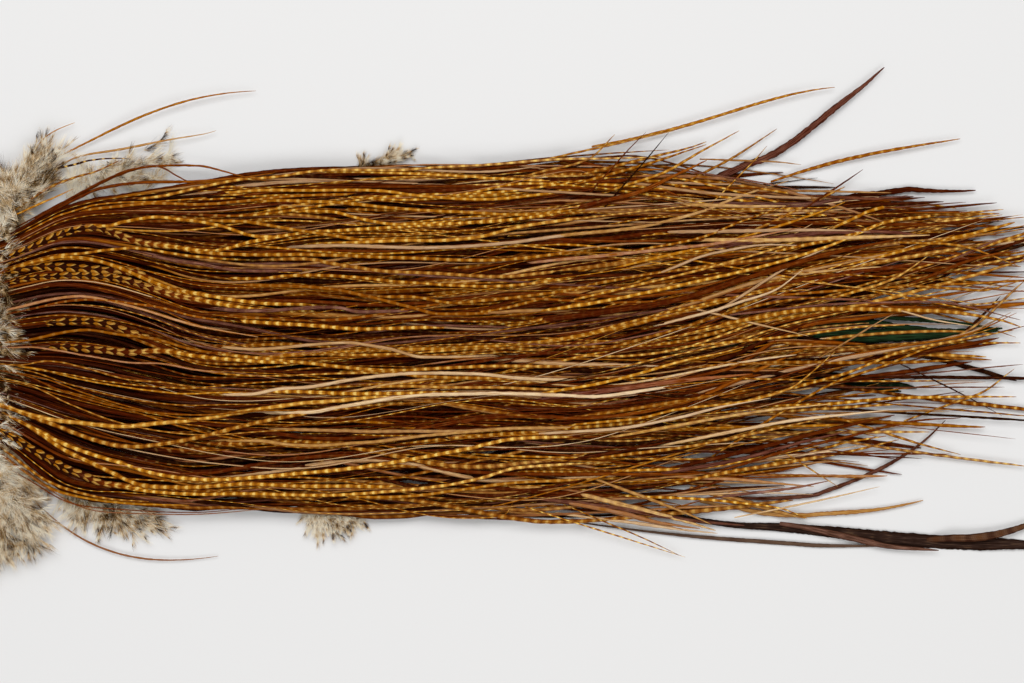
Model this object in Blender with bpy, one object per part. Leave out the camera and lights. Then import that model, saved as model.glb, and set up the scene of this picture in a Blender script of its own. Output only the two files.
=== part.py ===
"""Rooster saddle hackle: a dried skin patch with its long hackles lying in one sweep towards +X.

Metres, +Z up. The origin is the centre of the skin's flat underside. The hackles run along +X,
and their tips fan out and then close up again at the far end.
"""

import math
import random

import bmesh
import bpy
from mathutils import Matrix, Vector

# The sizes below are in mm. MM turns them into metres where a point is placed.
MM = 0.001

# Gaps between neighbouring locks, and between the two layers.
LOCK_GAP = 0.5
LAYER_GAP = 0.4

# The skin patch.
SKIN_THICKNESS = 2.0
SKIN_EDGE_ROUNDING = 0.6
SKIN_OUTLINE = (
    (-27, 4), (-26, 20), (-20, 33), (-8, 40), (8, 42), (20, 40), (28, 34), (30.5, 20), (29.5, 4),
    (30.5, -14), (30, -32), (26, -44), (14, -49), (0, -46), (-12, -39), (-22, -28), (-27, -12),
)

# The sweep of the hackles: at each distance along X, where nine flow lines cross, from the upper
# edge of the mat to its lower edge.
FLOW_X = (0, 20, 40, 60, 80, 100, 125, 150, 180, 210, 240, 270, 300, 330, 360)
FLOW_LINES = (
    (27, 32, 41, 45, 48, 51, 53, 54, 55, 59, 60, 48, 47, 42, 38),
    (22, 27, 36, 38, 39, 39.5, 39.5, 40, 43, 47, 49, 43, 41, 36, 30),
    (19, 24, 31, 29, 26, 25, 26, 27, 29, 33, 36, 34, 32, 28, 23),
    (14, 19, 23, 20, 14, 12, 12, 12.5, 14, 18, 22, 24, 23, 20, 16),
    (4, 8, 11, 8, 1, -2, -3, -2, -1, 1, 6, 12, 12, 10, 7),
    (-4, -5, -4, -7, -13, -15, -15, -14, -13, -13, -9, -3, 1, 2, 0),
    (-13, -15, -19, -23, -26, -27, -27, -25, -25, -26, -22, -16, -11, -8, -7),
    (-21, -25, -33, -39, -42, -42, -42, -42, -43, -42, -39, -32, -26, -22, -19),
    (-28, -39, -54, -57, -59, -59, -60, -61, -62, -63, -62, -58, -46, -36, -28),
)

# Heights along X at the middle of the mat: what the hackles lie on, the top of the lower layer
# and the top of the upper layer.
BED = ((0, 2.4), (38, 2.4), (56, 0), (380, 0))
LOWER_TOP = ((0, 2.0), (9, 2.0), (17, 3.4), (24, 4.6), (32, 5.6), (60, 5.4), (100, 4.6), (150, 4.0),
             (240, 3.2), (300, 2.2), (330, 1.5), (380, 0.7))
UPPER_TOP = ((0, 3.8), (10, 6.6), (20, 9.4), (32, 11.4), (45, 12.2), (60, 11.8), (100, 10.0),
             (150, 8.0), (240, 6.4), (300, 5.0), (330, 4.0), (380, 2.4))
EDGE_THINNING = 0.55

# Locks in each layer, the run of X where they start, and how far the upper ones reach, by their
# place across the mat. The lower ones stop short of that.
UPPER_LOCKS = 22
UPPER_ROOT_X = (8, 13)
UPPER_REACH = ((0.0, 246), (0.05, 256), (0.09, 318), (0.14, 340), (0.22, 352), (0.32, 368),
               (0.5, 371), (0.68, 369), (0.78, 352), (0.86, 340), (0.91, 312), (0.95, 290),
               (1.0, 272))
LOWER_LOCKS = 15
LOWER_ROOT_X = (22, 27)
LOWER_SHORTFALL = 26
LOWER_LAST_X = 326
GREEN_BLACK_LOCKS = (7, 8)
REACH_VARIATION = 4

# A lock narrows over its last stretch to these shares of its width and thickness at the tip.
TAPER_LENGTH = 62
TIP_WIDTH = 0.16
TIP_THICKNESS = 0.35

# At its root a lock starts at this share of its width, and reaches all of it after this length.
ROOT_WIDTH = 0.6
ROOT_LENGTH = 12

# Where every lock has a cross-section, with the least distance from those at its two ends.
LOCK_STATIONS_X = (20, 30, 38, 47, 56, 68, 82, 100, 125, 150, 180, 210, 240, 270, 300, 330, 352)
SHORTEST_STEP = 5
LOCK_SEED = 11

# A lock's cross-section, as shares of its half width and of its thickness.
LOCK_SECTION = ((-0.72, 0.0), (-1.0, 0.45), (-0.45, 1.0), (0.45, 1.0), (1.0, 0.45), (0.72, 0.0))

# Single feathers away from the mat: the quill's route, the largest half width and the thickness.
STRAYS = {
    "stray_hackle_upper_left_curl": (
        ((26.5, 57.5, 1.4), (28.5, 61.5, 1.6), (31.5, 64.8, 1.8), (36, 67.4, 1.8), (41, 69.4, 1.4)),
        0.8, 0.9),
    "stray_hackle_upper_left_arc": (
        ((35, 57.8, 1.4), (44, 62.2, 1.6), (53.3, 66.7, 2.2), (65, 72, 2.6), (76.7, 76, 2.6),
         (90, 79, 2.2), (101.7, 80, 1.6)), 0.8, 0.9),
    "stray_hackle_upper_left_cream": (
        ((37, 55.5, 1.4), (43.3, 58.3, 1.6), (50, 59.5, 1.8), (60, 60.9, 2.2), (70, 63.3, 2.4),
         (80, 64.7, 2.2), (88.3, 66.7, 1.6)), 0.8, 0.8),
    "stray_hackle_lower_left_arc": (
        ((31, -60.5, 1.2), (37, -65.6, 1.2), (42, -69, 1.2), (53.3, -74.3, 1.2), (66.7, -76.7, 1.2),
         (76.7, -77, 1.0), (89, -75.7, 0.8)), 0.8, 0.9),
    "stray_hackle_upper_right_dark": (
        ((260, 54, 1.4), (270, 56.7, 1.6), (283.3, 64.3, 2.2), (293.3, 73, 2.4), (303.3, 80.3, 2.2),
         (311.7, 87.7, 1.6)), 1.3, 1.2),
    "stray_hackle_upper_right_gold": (
        ((214, 61.4, 1.4), (230, 64.3, 1.8), (240, 67, 2.2), (250, 69.7, 2.4), (263.3, 73.7, 2.4),
         (273.3, 77, 2.4), (283.3, 79.3, 2.2), (295.3, 81.3, 1.6)), 0.8, 0.9),
    "stray_hackle_upper_right_barred": (
        ((274, 49.6, 1.2), (283.3, 52.7, 1.4), (300, 57.3, 1.8), (316.7, 60.7, 2.0), (337.3, 64, 1.4)),
        0.8, 0.9),
    "stray_hackle_upper_right_black": (
        ((288, 49.6, 1.2), (304, 48.6, 1.4), (322, 47, 1.4), (334, 46.5, 1.4), (342.5, 46.8, 1.2)),
        1.1, 1.1),
    "stray_hackle_lower_right_purple": (
        ((282, -57.2, 1.2), (290, -54.6, 1.2), (300, -51.3, 1.2), (313.3, -45, 1.2),
         (323.3, -38.8, 1.2), (332.3, -30.4, 1.0)), 1.0, 1.0),
    "stray_hackle_lower_right_gold": (
        ((279, -62.4, 1.2), (288, -61.8, 1.2), (300, -61, 1.2), (314, -59.4, 1.0), (325, -57, 0.8)),
        0.9, 0.9),
}

# The dark tail feathers along the lower edge.
TAIL_FEATHERS = {
    "tail_feather_thin": (
        ((222, -66.2, 0.8), (243, -68.6, 0.8), (257, -69.8, 0.8), (270, -70.8, 0.8),
         (284, -71.8, 0.8), (300, -72.8, 0.8)), 1.1, 1.2),
    "tail_feather_long": (
        ((246, -64.4, 1.0), (258, -65, 1.0), (270, -65.6, 1.0), (283, -66.6, 1.2),
         (297, -67.8, 1.2), (312, -70, 1.2), (330, -71, 1.2), (350, -71.4, 1.0),
         (370, -72.8, 0.9)), 1.7, 1.7),
    "tail_feather_barred": (
        ((312, -65.8, 3.0), (330, -69.4, 3.0), (346.7, -68.6, 2.8), (358, -65.7, 2.2),
         (370, -61, 1.4)), 1.5, 1.2),
}
# Their cross-section, with shares of the half width and the thickness, how narrow their ends are,
# and how many stations they have from one point of the route to the next.
FEATHER_SECTION = ((-1, 0.0), (0, 0.5), (1, 0.0), (0, -0.5))
FEATHER_TIP = 0.2
FEATHER_STEPS = 2
FEATHER_ROOT_SHARE = 0.3
FEATHER_ROOT_RISE = 5
FEATHER_TIP_FALL = 1.6

# Tufts of down: the outline, the height of its underside and the height of its top.
DOWN_TUFTS = {
    "down_front": (
        ((-33, 3), (-32, 12), (-28, 19), (-20, 22), (-12, 21), (-3, 23), (4, 20), (3.5, 11),
         (5, 2), (3, -8), (5, -16), (1, -22), (-8, -23), (-16, -20), (-25, -22), (-30, -15),
         (-31, -6)), 2.4, 10.5),
    "down_upper_front": (
        ((-23, 28), (-25, 34), (-19, 40), (-12, 47), (-4, 46), (2, 50), (7, 44), (4, 37),
         (5, 29), (2, 25.5), (-6, 27), (-14, 25.5)), 2.4, 9.0),
    "down_lower_front": (
        ((-25, -27), (-17, -25), (-8, -27), (1, -26), (5, -31), (2, -39), (4, -47), (-2, -54),
         (-9, -52), (-16, -47), (-23, -41), (-22, -34)), 2.4, 9.0),
    "down_upper_flank": (
        ((9, 33.5), (8, 39), (12, 42), (13, 48), (19, 51), (21, 57), (26, 57.5), (31, 61.5),
         (38, 62), (35, 57), (35.5, 52.5), (31, 48), (29, 42.5), (22, 39.5), (17, 35)), 2.4, 7.5),
    "down_upper_edge": (
        ((38, 46), (39, 52), (46, 55), (54, 57), (63, 58), (71, 61), (75, 57), (73, 52),
         (64, 49.5), (52, 48), (45, 46)), 0.4, 3.0),
    "down_lower_flank": (
        ((7, -42), (6, -50), (9, -58), (5, -67), (10, -74), (17, -77), (24, -74), (31, -71),
         (33, -65), (31, -58), (29, -53), (21, -46), (13, -43)), 2.4, 7.5),
    "down_lower_edge": (
        ((36, -58), (38, -63), (45, -65), (50, -69), (57, -67), (64, -68), (69, -65), (73, -67),
         (73, -62.5), (64, -61.5), (54, -60.5), (44, -60)), 0.4, 3.2),
    "down_upper_tuft": (
        ((136, 55), (141, 57), (146, 58.3), (152, 60.8), (154, 59.6), (152, 57.8), (148, 56.2),
         (143, 55)), 0.4, 2.6),
    "down_lower_tuft": (
        ((116, -61.4), (118, -65), (122, -69), (127, -70), (132, -67), (138, -65),
         (136, -62.8), (127, -62)), 0.4, 2.8),
}
# Shares of a tuft's height, with how far its outline has drawn in there.
TUFT_RISE = ((0.45, 0.98), (0.8, 0.72), (1.0, 0.36))

COLOURS = {
    "skin": ((0.62, 0.48, 0.30), 0.65),
    "upper": ((0.42, 0.22, 0.05), 0.45),
    "lower": ((0.16, 0.05, 0.02), 0.45),
    "green_black": ((0.02, 0.05, 0.03), 0.35),
    "stray": ((0.55, 0.33, 0.12), 0.5),
    "tail": ((0.05, 0.03, 0.02), 0.4),
    "down": ((0.52, 0.45, 0.36), 0.9),
}


def clear_scene():
    for obj in list(bpy.data.objects):
        bpy.data.objects.remove(obj, do_unlink=True)


def make_material(name, colour, roughness):
    material = bpy.data.materials.new(name)
    material.use_nodes = True
    shader = material.node_tree.nodes["Principled BSDF"]
    shader.inputs["Base Color"].default_value = (*colour, 1)
    shader.inputs["Roughness"].default_value = roughness
    shader.inputs["Metallic"].default_value = 0
    return material


def add_object(name, bm, finish):
    bmesh.ops.recalc_face_normals(bm, faces=bm.faces[:])
    mesh = bpy.data.meshes.new(name)
    bm.to_mesh(mesh)
    bm.free()
    mesh.shade_smooth()
    mesh.set_sharp_from_angle(angle=math.radians(50))
    mesh.materials.append(make_material(name, *COLOURS[finish]))
    obj = bpy.data.objects.new(name, mesh)
    bpy.context.scene.collection.objects.link(obj)
    return obj


def smooth_between(knots, values, at):
    """The value at one place on a smooth curve through the knots, without overshoot at its ends."""
    if at <= knots[0]:
        return values[0]
    if at >= knots[-1]:
        return values[-1]
    i = max(k for k in range(len(knots) - 1) if knots[k] <= at)
    share = (at - knots[i]) / (knots[i + 1] - knots[i])

    def slope(k):
        low = max(k - 1, 0)
        high = min(k + 1, len(knots) - 1)
        return (values[high] - values[low]) / (knots[high] - knots[low])

    run = knots[i + 1] - knots[i]
    square = share * share
    cube = square * share
    return (
        (2 * cube - 3 * square + 1) * values[i]
        + (cube - 2 * square + share) * run * slope(i)
        + (3 * square - 2 * cube) * values[i + 1]
        + (cube - square) * run * slope(i + 1)
    )


def straight_between(points, at):
    if at <= points[0][0]:
        return points[0][1]
    for (x0, y0), (x1, y1) in zip(points, points[1:]):
        if at <= x1:
            return y0 + (y1 - y0) * (at - x0) / (x1 - x0)
    return points[-1][1]


def flow_y(x, across):
    """Y in mm of the flow line at this share of the way across the mat."""
    lanes = len(FLOW_LINES) - 1
    knots = [k / lanes for k in range(lanes + 1)]
    crossings = [smooth_between(FLOW_X, line, x) for line in FLOW_LINES]
    return smooth_between(knots, crossings, across)


def layer_height(points, x, across):
    """Height in mm of a layer's surface, which is lower towards both edges of the mat."""
    bed = straight_between(BED, x)
    full = straight_between(points, x)
    thinning = 1 - EDGE_THINNING * abs(2 * across - 1) ** 3
    return bed + (full - bed) * thinning


def tube_grid(stations, sides):
    """A grid rolled into a tube: its columns are stations, its rows go round. Returns the mesh
    and its points by station and side."""
    bm = bmesh.new()
    bmesh.ops.create_grid(bm, x_segments=stations - 1, y_segments=sides, size=0.5)
    bm.verts.ensure_lookup_table()
    points = {}
    for vert in bm.verts:
        station = round((vert.co.x + 0.5) * (stations - 1))
        side = round((vert.co.y + 0.5) * sides)
        points[station, side] = vert
    return bm, points


def close_tube(bm):
    bmesh.ops.remove_doubles(bm, verts=bm.verts[:], dist=0.001 * MM)
    ends = [edge for edge in bm.edges if edge.is_boundary]
    bmesh.ops.holes_fill(bm, edges=ends, sides=0)
    bmesh.ops.triangulate(bm, faces=bm.faces[:])


def make_lock(name, finish, low, high, root, reach, floor, top):
    """One lock of neighbouring hackles, between two shares of the way across the mat."""
    sides = len(LOCK_SECTION)
    inner = [x for x in LOCK_STATIONS_X if root + SHORTEST_STEP < x < reach - SHORTEST_STEP]
    stations = [root, *inner, reach]
    bm, points = tube_grid(len(stations), sides)
    middle = (low + high) / 2
    for (station, side), vert in points.items():
        x = stations[station]
        width = min(1, TIP_WIDTH + (1 - TIP_WIDTH) * (reach - x) / TAPER_LENGTH)
        width *= min(1, ROOT_WIDTH + (1 - ROOT_WIDTH) * (x - root) / ROOT_LENGTH)
        thick = min(1, TIP_THICKNESS + (1 - TIP_THICKNESS) * (reach - x) / TAPER_LENGTH)
        half = (flow_y(x, low) - flow_y(x, high) - LOCK_GAP) / 2
        sideways, rise = LOCK_SECTION[side % sides]
        y = flow_y(x, middle) + half * width * sideways
        across = middle - (high - low) / 2 * width * sideways
        bottom = floor(x, across)
        z = bottom + (top(x, across) - bottom) * rise * thick
        vert.co = Vector((x, y, z)) * MM
    close_tube(bm)
    return add_object(name, bm, finish)


def lock_reach(across, chance):
    reach = straight_between(UPPER_REACH, across)
    return reach + chance.uniform(-REACH_VARIATION, REACH_VARIATION)


def make_upper_locks(chance):
    def floor(x, across):
        return layer_height(LOWER_TOP, x, across) + LAYER_GAP

    def top(x, across):
        return layer_height(UPPER_TOP, x, across)

    for i in range(UPPER_LOCKS):
        low = i / UPPER_LOCKS
        high = (i + 1) / UPPER_LOCKS
        root = chance.uniform(*UPPER_ROOT_X)
        reach = lock_reach((low + high) / 2, chance)
        make_lock(f"upper_hackle_lock_{i + 1:02d}", "upper", low, high, root, reach, floor, top)


def make_lower_locks(chance):
    def floor(x, across):
        return straight_between(BED, x)

    def top(x, across):
        return layer_height(LOWER_TOP, x, across)

    for i in range(LOWER_LOCKS):
        low = i / LOWER_LOCKS
        high = (i + 1) / LOWER_LOCKS
        root = chance.uniform(*LOWER_ROOT_X)
        reach = min(lock_reach((low + high) / 2, chance) - LOWER_SHORTFALL, LOWER_LAST_X)
        if i in GREEN_BLACK_LOCKS:
            name = f"green_black_hackle_lock_{i + 1 - GREEN_BLACK_LOCKS[0]}"
            finish = "green_black"
        else:
            name = f"lower_hackle_lock_{i + 1:02d}"
            finish = "lower"
        make_lock(name, finish, low, high, root, reach, floor, top)


def make_single_feather(name, route, half_width, thickness, finish):
    """A feather on its own: a flat pointed blade along a smooth route, its quill end narrow."""
    knots = list(range(len(route)))
    stations = (len(route) - 1) * FEATHER_STEPS + 1
    sides = len(FEATHER_SECTION)
    bm, points = tube_grid(stations, sides)

    def centre(along):
        return Vector(smooth_between(knots, [p[axis] for p in route], along) for axis in range(3))

    for (station, side), vert in points.items():
        along = station / FEATHER_STEPS
        share = station / (stations - 1)
        ahead = centre(min(along + 0.2, knots[-1])) - centre(max(along - 0.2, 0))
        sideways = Vector((-ahead.y, ahead.x, 0)).normalized()
        from_root = FEATHER_ROOT_SHARE + FEATHER_ROOT_RISE * share
        full = min(1, from_root, FEATHER_TIP_FALL * (1 - share))
        taper = FEATHER_TIP + (1 - FEATHER_TIP) * full
        out, rise = FEATHER_SECTION[side % sides]
        place = centre(along) + sideways * half_width * taper * out
        place.z += rise * thickness * taper
        vert.co = place * MM
    close_tube(bm)
    return add_object(name, bm, finish)


def slab(outline, bottom, top):
    """An upright slab with this outline, in mm, and the face on top of it."""
    bm = bmesh.new()
    corners = [bm.verts.new(Vector((x, y, bottom)) * MM) for x, y in outline]
    base = bm.faces.new(corners)
    raised = bmesh.ops.extrude_face_region(bm, geom=[base], use_keep_orig=True)
    lifted = [item for item in raised["geom"] if isinstance(item, bmesh.types.BMVert)]
    bmesh.ops.translate(bm, verts=lifted, vec=(0, 0, (top - bottom) * MM))
    face = next(item for item in raised["geom"] if isinstance(item, bmesh.types.BMFace))
    return bm, face


def make_skin():
    """The dried skin, flat underneath, with its upper rim rounded."""
    bm, top = slab(SKIN_OUTLINE, 0, SKIN_THICKNESS)
    rim = list(top.edges)
    offset = SKIN_EDGE_ROUNDING * MM
    bmesh.ops.bevel(bm, geom=rim, offset=offset, segments=2, profile=0.5, affect="EDGES", material=-1)
    return add_object("skin", bm, "skin")


def make_down_tuft(name, outline, bottom, top):
    """A cushion of down: its outline, drawn in step by step towards a low crown."""
    count = len(outline)
    middle = Vector((sum(x for x, y in outline) / count, sum(y for x, y in outline) / count, 0))
    height = top - bottom
    first_rise, first_draw = TUFT_RISE[0]
    bm, face = slab(outline, bottom, bottom + height * first_rise)
    drawn = first_draw
    about_middle = Matrix.Translation(-middle * MM)
    bmesh.ops.scale(bm, verts=face.verts[:], vec=(drawn, drawn, 1), space=about_middle)
    for rise, draw in TUFT_RISE[1:]:
        raised = bmesh.ops.extrude_discrete_faces(bm, faces=[face])
        face = raised["faces"][0]
        level = bottom + height * rise
        more = draw / drawn
        bmesh.ops.scale(bm, verts=face.verts[:], vec=(more, more, 1), space=about_middle)
        drawn = draw
        for vert in face.verts:
            vert.co.z = level * MM
    bmesh.ops.triangulate(bm, faces=bm.faces[:])
    return add_object(name, bm, "down")


def main():
    clear_scene()
    chance = random.Random(LOCK_SEED)
    make_skin()
    make_lower_locks(chance)
    make_upper_locks(chance)
    for name, (route, half_width, thickness) in STRAYS.items():
        make_single_feather(name, route, half_width, thickness, "stray")
    for name, (route, half_width, thickness) in TAIL_FEATHERS.items():
        make_single_feather(name, route, half_width, thickness, "tail")
    for name, (outline, bottom, top) in DOWN_TUFTS.items():
        make_down_tuft(name, outline, bottom, top)


main()
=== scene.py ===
"""The looks of a rooster saddle hackle: its locks of hackles, single feathers and tufts of down.

Every lock of the frame gives way to the feathers that it stands for. Metres, +Z up, with the
hackles running along +X. Lengths are written in millimetres times MM.
"""

from collections import namedtuple

import bmesh
import bpy
import numpy as np
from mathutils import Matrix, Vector, noise


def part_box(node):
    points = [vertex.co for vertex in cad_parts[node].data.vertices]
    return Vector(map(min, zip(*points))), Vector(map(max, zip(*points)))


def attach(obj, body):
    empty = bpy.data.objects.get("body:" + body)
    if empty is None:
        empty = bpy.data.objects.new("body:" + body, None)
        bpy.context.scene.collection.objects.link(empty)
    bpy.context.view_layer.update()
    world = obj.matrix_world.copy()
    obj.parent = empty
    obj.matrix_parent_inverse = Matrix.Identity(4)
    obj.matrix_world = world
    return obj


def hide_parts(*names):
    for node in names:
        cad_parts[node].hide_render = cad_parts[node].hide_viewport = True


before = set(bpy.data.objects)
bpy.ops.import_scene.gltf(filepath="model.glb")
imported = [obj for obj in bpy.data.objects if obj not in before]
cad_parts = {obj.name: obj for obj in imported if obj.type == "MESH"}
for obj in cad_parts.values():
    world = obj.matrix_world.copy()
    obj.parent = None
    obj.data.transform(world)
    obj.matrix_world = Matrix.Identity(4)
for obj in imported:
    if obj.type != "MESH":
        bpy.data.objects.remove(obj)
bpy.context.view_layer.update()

MM = 0.001

# The photograph looks straight down on the object, with three of its pixels to a millimetre.
PHOTO_SIZE = (1024, 683)
PIXELS_PER_MM = 3
PHOTO_ORIGIN = (-50, 330)

# What a stretch of feather is made like: its colour from black (0) over mahogany, gold and buff
# to cream (1), how strong its bars are, how bright it is, with painted shade for feathers deep in
# the mat, and how much painted mauve sheen it has.
Finish = namedtuple("Finish", "tone barring shade bloom")
FINISHES = {
    "gold": Finish(0.60, 1.0, 1.0, 0.0),
    "bead": Finish(0.10, 1.0, 1.0, 0.0),
    "orange": Finish(0.50, 0.35, 1.0, 0.0),
    "buff": Finish(0.78, 0.35, 0.9, 0.03),
    "cream": Finish(0.92, 0.1, 0.95, 0.0),
    "mauve": Finish(0.30, 0.1, 0.9, 0.6),
    "rose": Finish(0.58, 0.2, 1.0, 0.7),
    "mahogany": Finish(0.29, 0.03, 1.05, 0.0),
    "brown": Finish(0.22, 0.0, 1.1, 0.25),
    "dark": Finish(0.12, 0.03, 0.9, 0.0),
    "pied": Finish(0.08, 1.6, 1.0, 0.0),
    "green": Finish(-0.5, 0.0, 1.0, 0.0),
}

# A feather ready to be made: the quill's points in metres, from root to tip, and what its vane
# is like. Its bars start at phase, in centimetres, and are closer together by bar_scale. Where
# only its outer end is made, first_share tells how much of the whole feather comes before it.
Feather = namedtuple(
    "Feather",
    "route half_width finish fold roll columns phase teeth bar_scale tip_length first_share",
    defaults=(0.3, 1.0, 26 * MM, 0.0))


def from_photo(pixel):
    """X and Y in metres of a pixel of the photograph."""
    across, down = pixel
    return (
        (across - PHOTO_ORIGIN[0]) / PIXELS_PER_MM * MM,
        (PHOTO_ORIGIN[1] - down) / PIXELS_PER_MM * MM,
    )


def smooth_curve(knots, values, at):
    """Values on a smooth curve through the knots at each of these places."""
    knots = np.asarray(knots, float)
    values = np.asarray(values, float)
    at = np.clip(at, knots[0], knots[-1])
    order = np.arange(len(knots))
    before = np.maximum(order - 1, 0)
    after = np.minimum(order + 1, len(knots) - 1)
    slopes = (values[..., after] - values[..., before]) / (knots[after] - knots[before])
    i = np.clip(np.searchsorted(knots, at, side="right") - 1, 0, len(knots) - 2)
    run = knots[i + 1] - knots[i]
    share = (at - knots[i]) / run
    square = share * share
    cube = square * share
    return (
        (2 * cube - 3 * square + 1) * values[..., i]
        + (cube - 2 * square + share) * run * slopes[..., i]
        + (3 * square - 2 * cube) * values[..., i + 1]
        + (cube - square) * run * slopes[..., i + 1]
    )


def smooth_step(low, high, at):
    share = np.clip((at - low) / (high - low), 0, 1)
    return share * share * (3 - 2 * share)


def corners(node):
    """The corner points of a node of the frame."""
    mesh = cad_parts[node].data
    points = np.empty(len(mesh.vertices) * 3)
    mesh.vertices.foreach_get("co", points)
    return points.reshape(-1, 3)


class Layer:
    """A layer of the mat as the frame's locks give it. A lane is the middle of a lock, numbered
    from the mat's upper edge. The tables hold lanes by steps along X."""

    STEP = 2 * MM
    SAME_STATION = 0.02 * MM
    LANES_OUTSIDE = 4

    def __init__(self, names):
        runs = [self.sections(name) for name in names]
        first = min(run[0][0] for run in runs)
        last = max(run[0][-1] for run in runs)
        self.names = names
        self.roots = [run[0][0] for run in runs]
        self.tips = [run[0][-1] for run in runs]
        self.x = np.arange(first, last + self.STEP, self.STEP)
        self.middle = np.array([smooth_curve(run[0], run[1], self.x) for run in runs])
        self.bottom = np.array([np.interp(self.x, run[0], run[2]) for run in runs])
        self.top = np.array([np.interp(self.x, run[0], run[3]) for run in runs])
        self.carry_on_past_tips()

    def sections(self, name):
        """A lock's cross-sections: their X, middle, underside and top."""
        points = corners(name)
        found = []
        for x in sorted(set(np.round(points[:, 0], 5))):
            ring = points[abs(points[:, 0] - x) < self.SAME_STATION]
            low = ring.min(axis=0)
            high = ring.max(axis=0)
            found.append((x, (low[1] + high[1]) / 2, low[2], high[2]))
        return np.array(found).T

    def carry_on_past_tips(self):
        """Past its tip a lane keeps its last distance to the next lane in."""
        middle_lane = len(self.names) // 2
        for lane in range(middle_lane - 1, -1, -1):
            self.carry_on(lane, lane + 1)
        for lane in range(middle_lane + 1, len(self.names)):
            self.carry_on(lane, lane - 1)

    def carry_on(self, lane, inner):
        past = self.x > self.tips[lane]
        end = max(int((~past).sum()) - 1, 0)
        apart = self.middle[lane, end] - self.middle[inner, end]
        self.middle[lane, past] = self.middle[inner, past] + apart

    def value(self, table, x, lane):
        """A table's value at these places, carried on in a straight line past its edges."""
        column = np.clip(((x - self.x[0]) / self.STEP).astype(int), 0, len(self.x) - 2)
        along = (x - self.x[column]) / self.STEP
        row = np.clip(np.floor(lane).astype(int), 0, len(self.names) - 2)
        across = lane - row
        near = table[row, column] * (1 - along) + table[row, column + 1] * along
        far = table[row + 1, column] * (1 - along) + table[row + 1, column + 1] * along
        return near * (1 - across) + far * across

    def y(self, x, lane):
        return self.value(self.middle, x, lane)

    def height(self, x, lane, level):
        """The height at a share of the layer's thickness, from its underside to its top."""
        lane = np.clip(lane, 0, len(self.names) - 1)
        x = np.clip(x, self.x[0], self.x[-1])
        bottom = self.value(self.bottom, x, lane)
        return bottom + (self.value(self.top, x, lane) - bottom) * level

    def lanes_at(self, x, y):
        """The lanes, with their fractions, that pass through these points."""
        lanes = np.arange(-float(self.LANES_OUTSIDE), len(self.names) + self.LANES_OUTSIDE)
        crossings = self.y(np.tile(x, (len(lanes), 1)), lanes[:, None])
        row = np.clip((crossings > y).sum(axis=0) - 1, 0, len(lanes) - 2)
        place = np.arange(len(x))
        near = crossings[row, place]
        far = crossings[row + 1, place]
        return lanes[row] + np.clip((near - y) / (near - far), 0, 1)

    def nearest(self, lanes):
        """The rows of the locks in which these lanes lie."""
        return np.clip(np.rint(lanes).astype(int), 0, len(self.names) - 1)


def add_node(tree, kind, sockets=(), **settings):
    """A new node. Each of its sockets named here takes a value, or a link from another socket."""
    node = tree.nodes.new(kind)
    for name, value in settings.items():
        setattr(node, name, value)
    for key, value in dict(sockets).items():
        if isinstance(value, bpy.types.NodeSocket):
            tree.links.new(value, node.inputs[key])
        else:
            node.inputs[key].default_value = value
    return node


def calculate(tree, operation, *values):
    return add_node(tree, "ShaderNodeMath", enumerate(values), operation=operation).outputs[0]


def times(tree, first, second):
    return calculate(tree, "MULTIPLY", first, second)


def ease(tree, value, low, high, to_low=0.0, to_high=1.0):
    """A socket that runs smoothly from to_low to to_high while the value runs from low to high."""
    sockets = {"Value": value, "From Min": low, "From Max": high, "To Min": to_low, "To Max": to_high}
    kind = "ShaderNodeMapRange"
    return add_node(tree, kind, sockets, interpolation_type="SMOOTHSTEP").outputs["Result"]


def swayed(tree, value, mask, amount):
    """The value, raised or lowered by a mask that runs from 0 to 1."""
    return calculate(tree, "MULTIPLY_ADD", calculate(tree, "SUBTRACT", mask, 0.5), amount, value)


def mix_colours(tree, share, first, second, blend="MIX"):
    """A mix of two colours, each a socket or its red, green and blue."""
    first, second = (
        colour if isinstance(colour, bpy.types.NodeSocket) else (*colour, 1)
        for colour in (first, second))
    sockets = {0: share, 6: first, 7: second}
    node = add_node(tree, "ShaderNodeMix", sockets, data_type="RGBA", blend_type=blend)
    return node.outputs[2]


def tinted(tree, colour, tint):
    return mix_colours(tree, 1.0, colour, tint, "MULTIPLY")


def colour_ramp(tree, tone, stops):
    ramp = add_node(tree, "ShaderNodeValToRGB", {"Fac": tone})
    elements = ramp.color_ramp.elements
    while len(elements) < len(stops):
        elements.new(0.5)
    for element, (place, colour) in zip(elements, stops):
        element.position = place
        element.color = (*colour, 1)
    return ramp.outputs["Color"]


def attribute(tree, label):
    return add_node(tree, "ShaderNodeAttribute", attribute_name=label).outputs["Fac"]


def speckle(tree, place, scale, detail=2.0):
    """Noise from 0 to 1 at a place on the surface."""
    sockets = {"Vector": place, "Scale": scale, "Detail": detail}
    return add_node(tree, "ShaderNodeTexNoise", sockets).outputs["Fac"]


def bump(tree, shader, height, strength, depth):
    """Relief of this depth in metres on the shader."""
    node = add_node(
        tree, "ShaderNodeBump", {"Height": height, "Strength": strength, "Distance": depth})
    tree.links.new(node.outputs["Normal"], shader.inputs["Normal"])


def new_material(name):
    material = bpy.data.materials.new(name)
    material.use_nodes = True
    return material, material.node_tree, material.node_tree.nodes["Principled BSDF"]


def new_group(name, inputs, outputs):
    """A node group with number sockets, and the nodes that bring its inputs in and take its
    outputs out."""
    tree = bpy.data.node_groups.new(name, "ShaderNodeTree")
    for label in inputs:
        tree.interface.new_socket(label, in_out="INPUT", socket_type="NodeSocketFloat")
    for label in outputs:
        tree.interface.new_socket(label, in_out="OUTPUT", socket_type="NodeSocketFloat")
    return tree, tree.nodes.new("NodeGroupInput").outputs, tree.nodes.new("NodeGroupOutput").inputs


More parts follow.
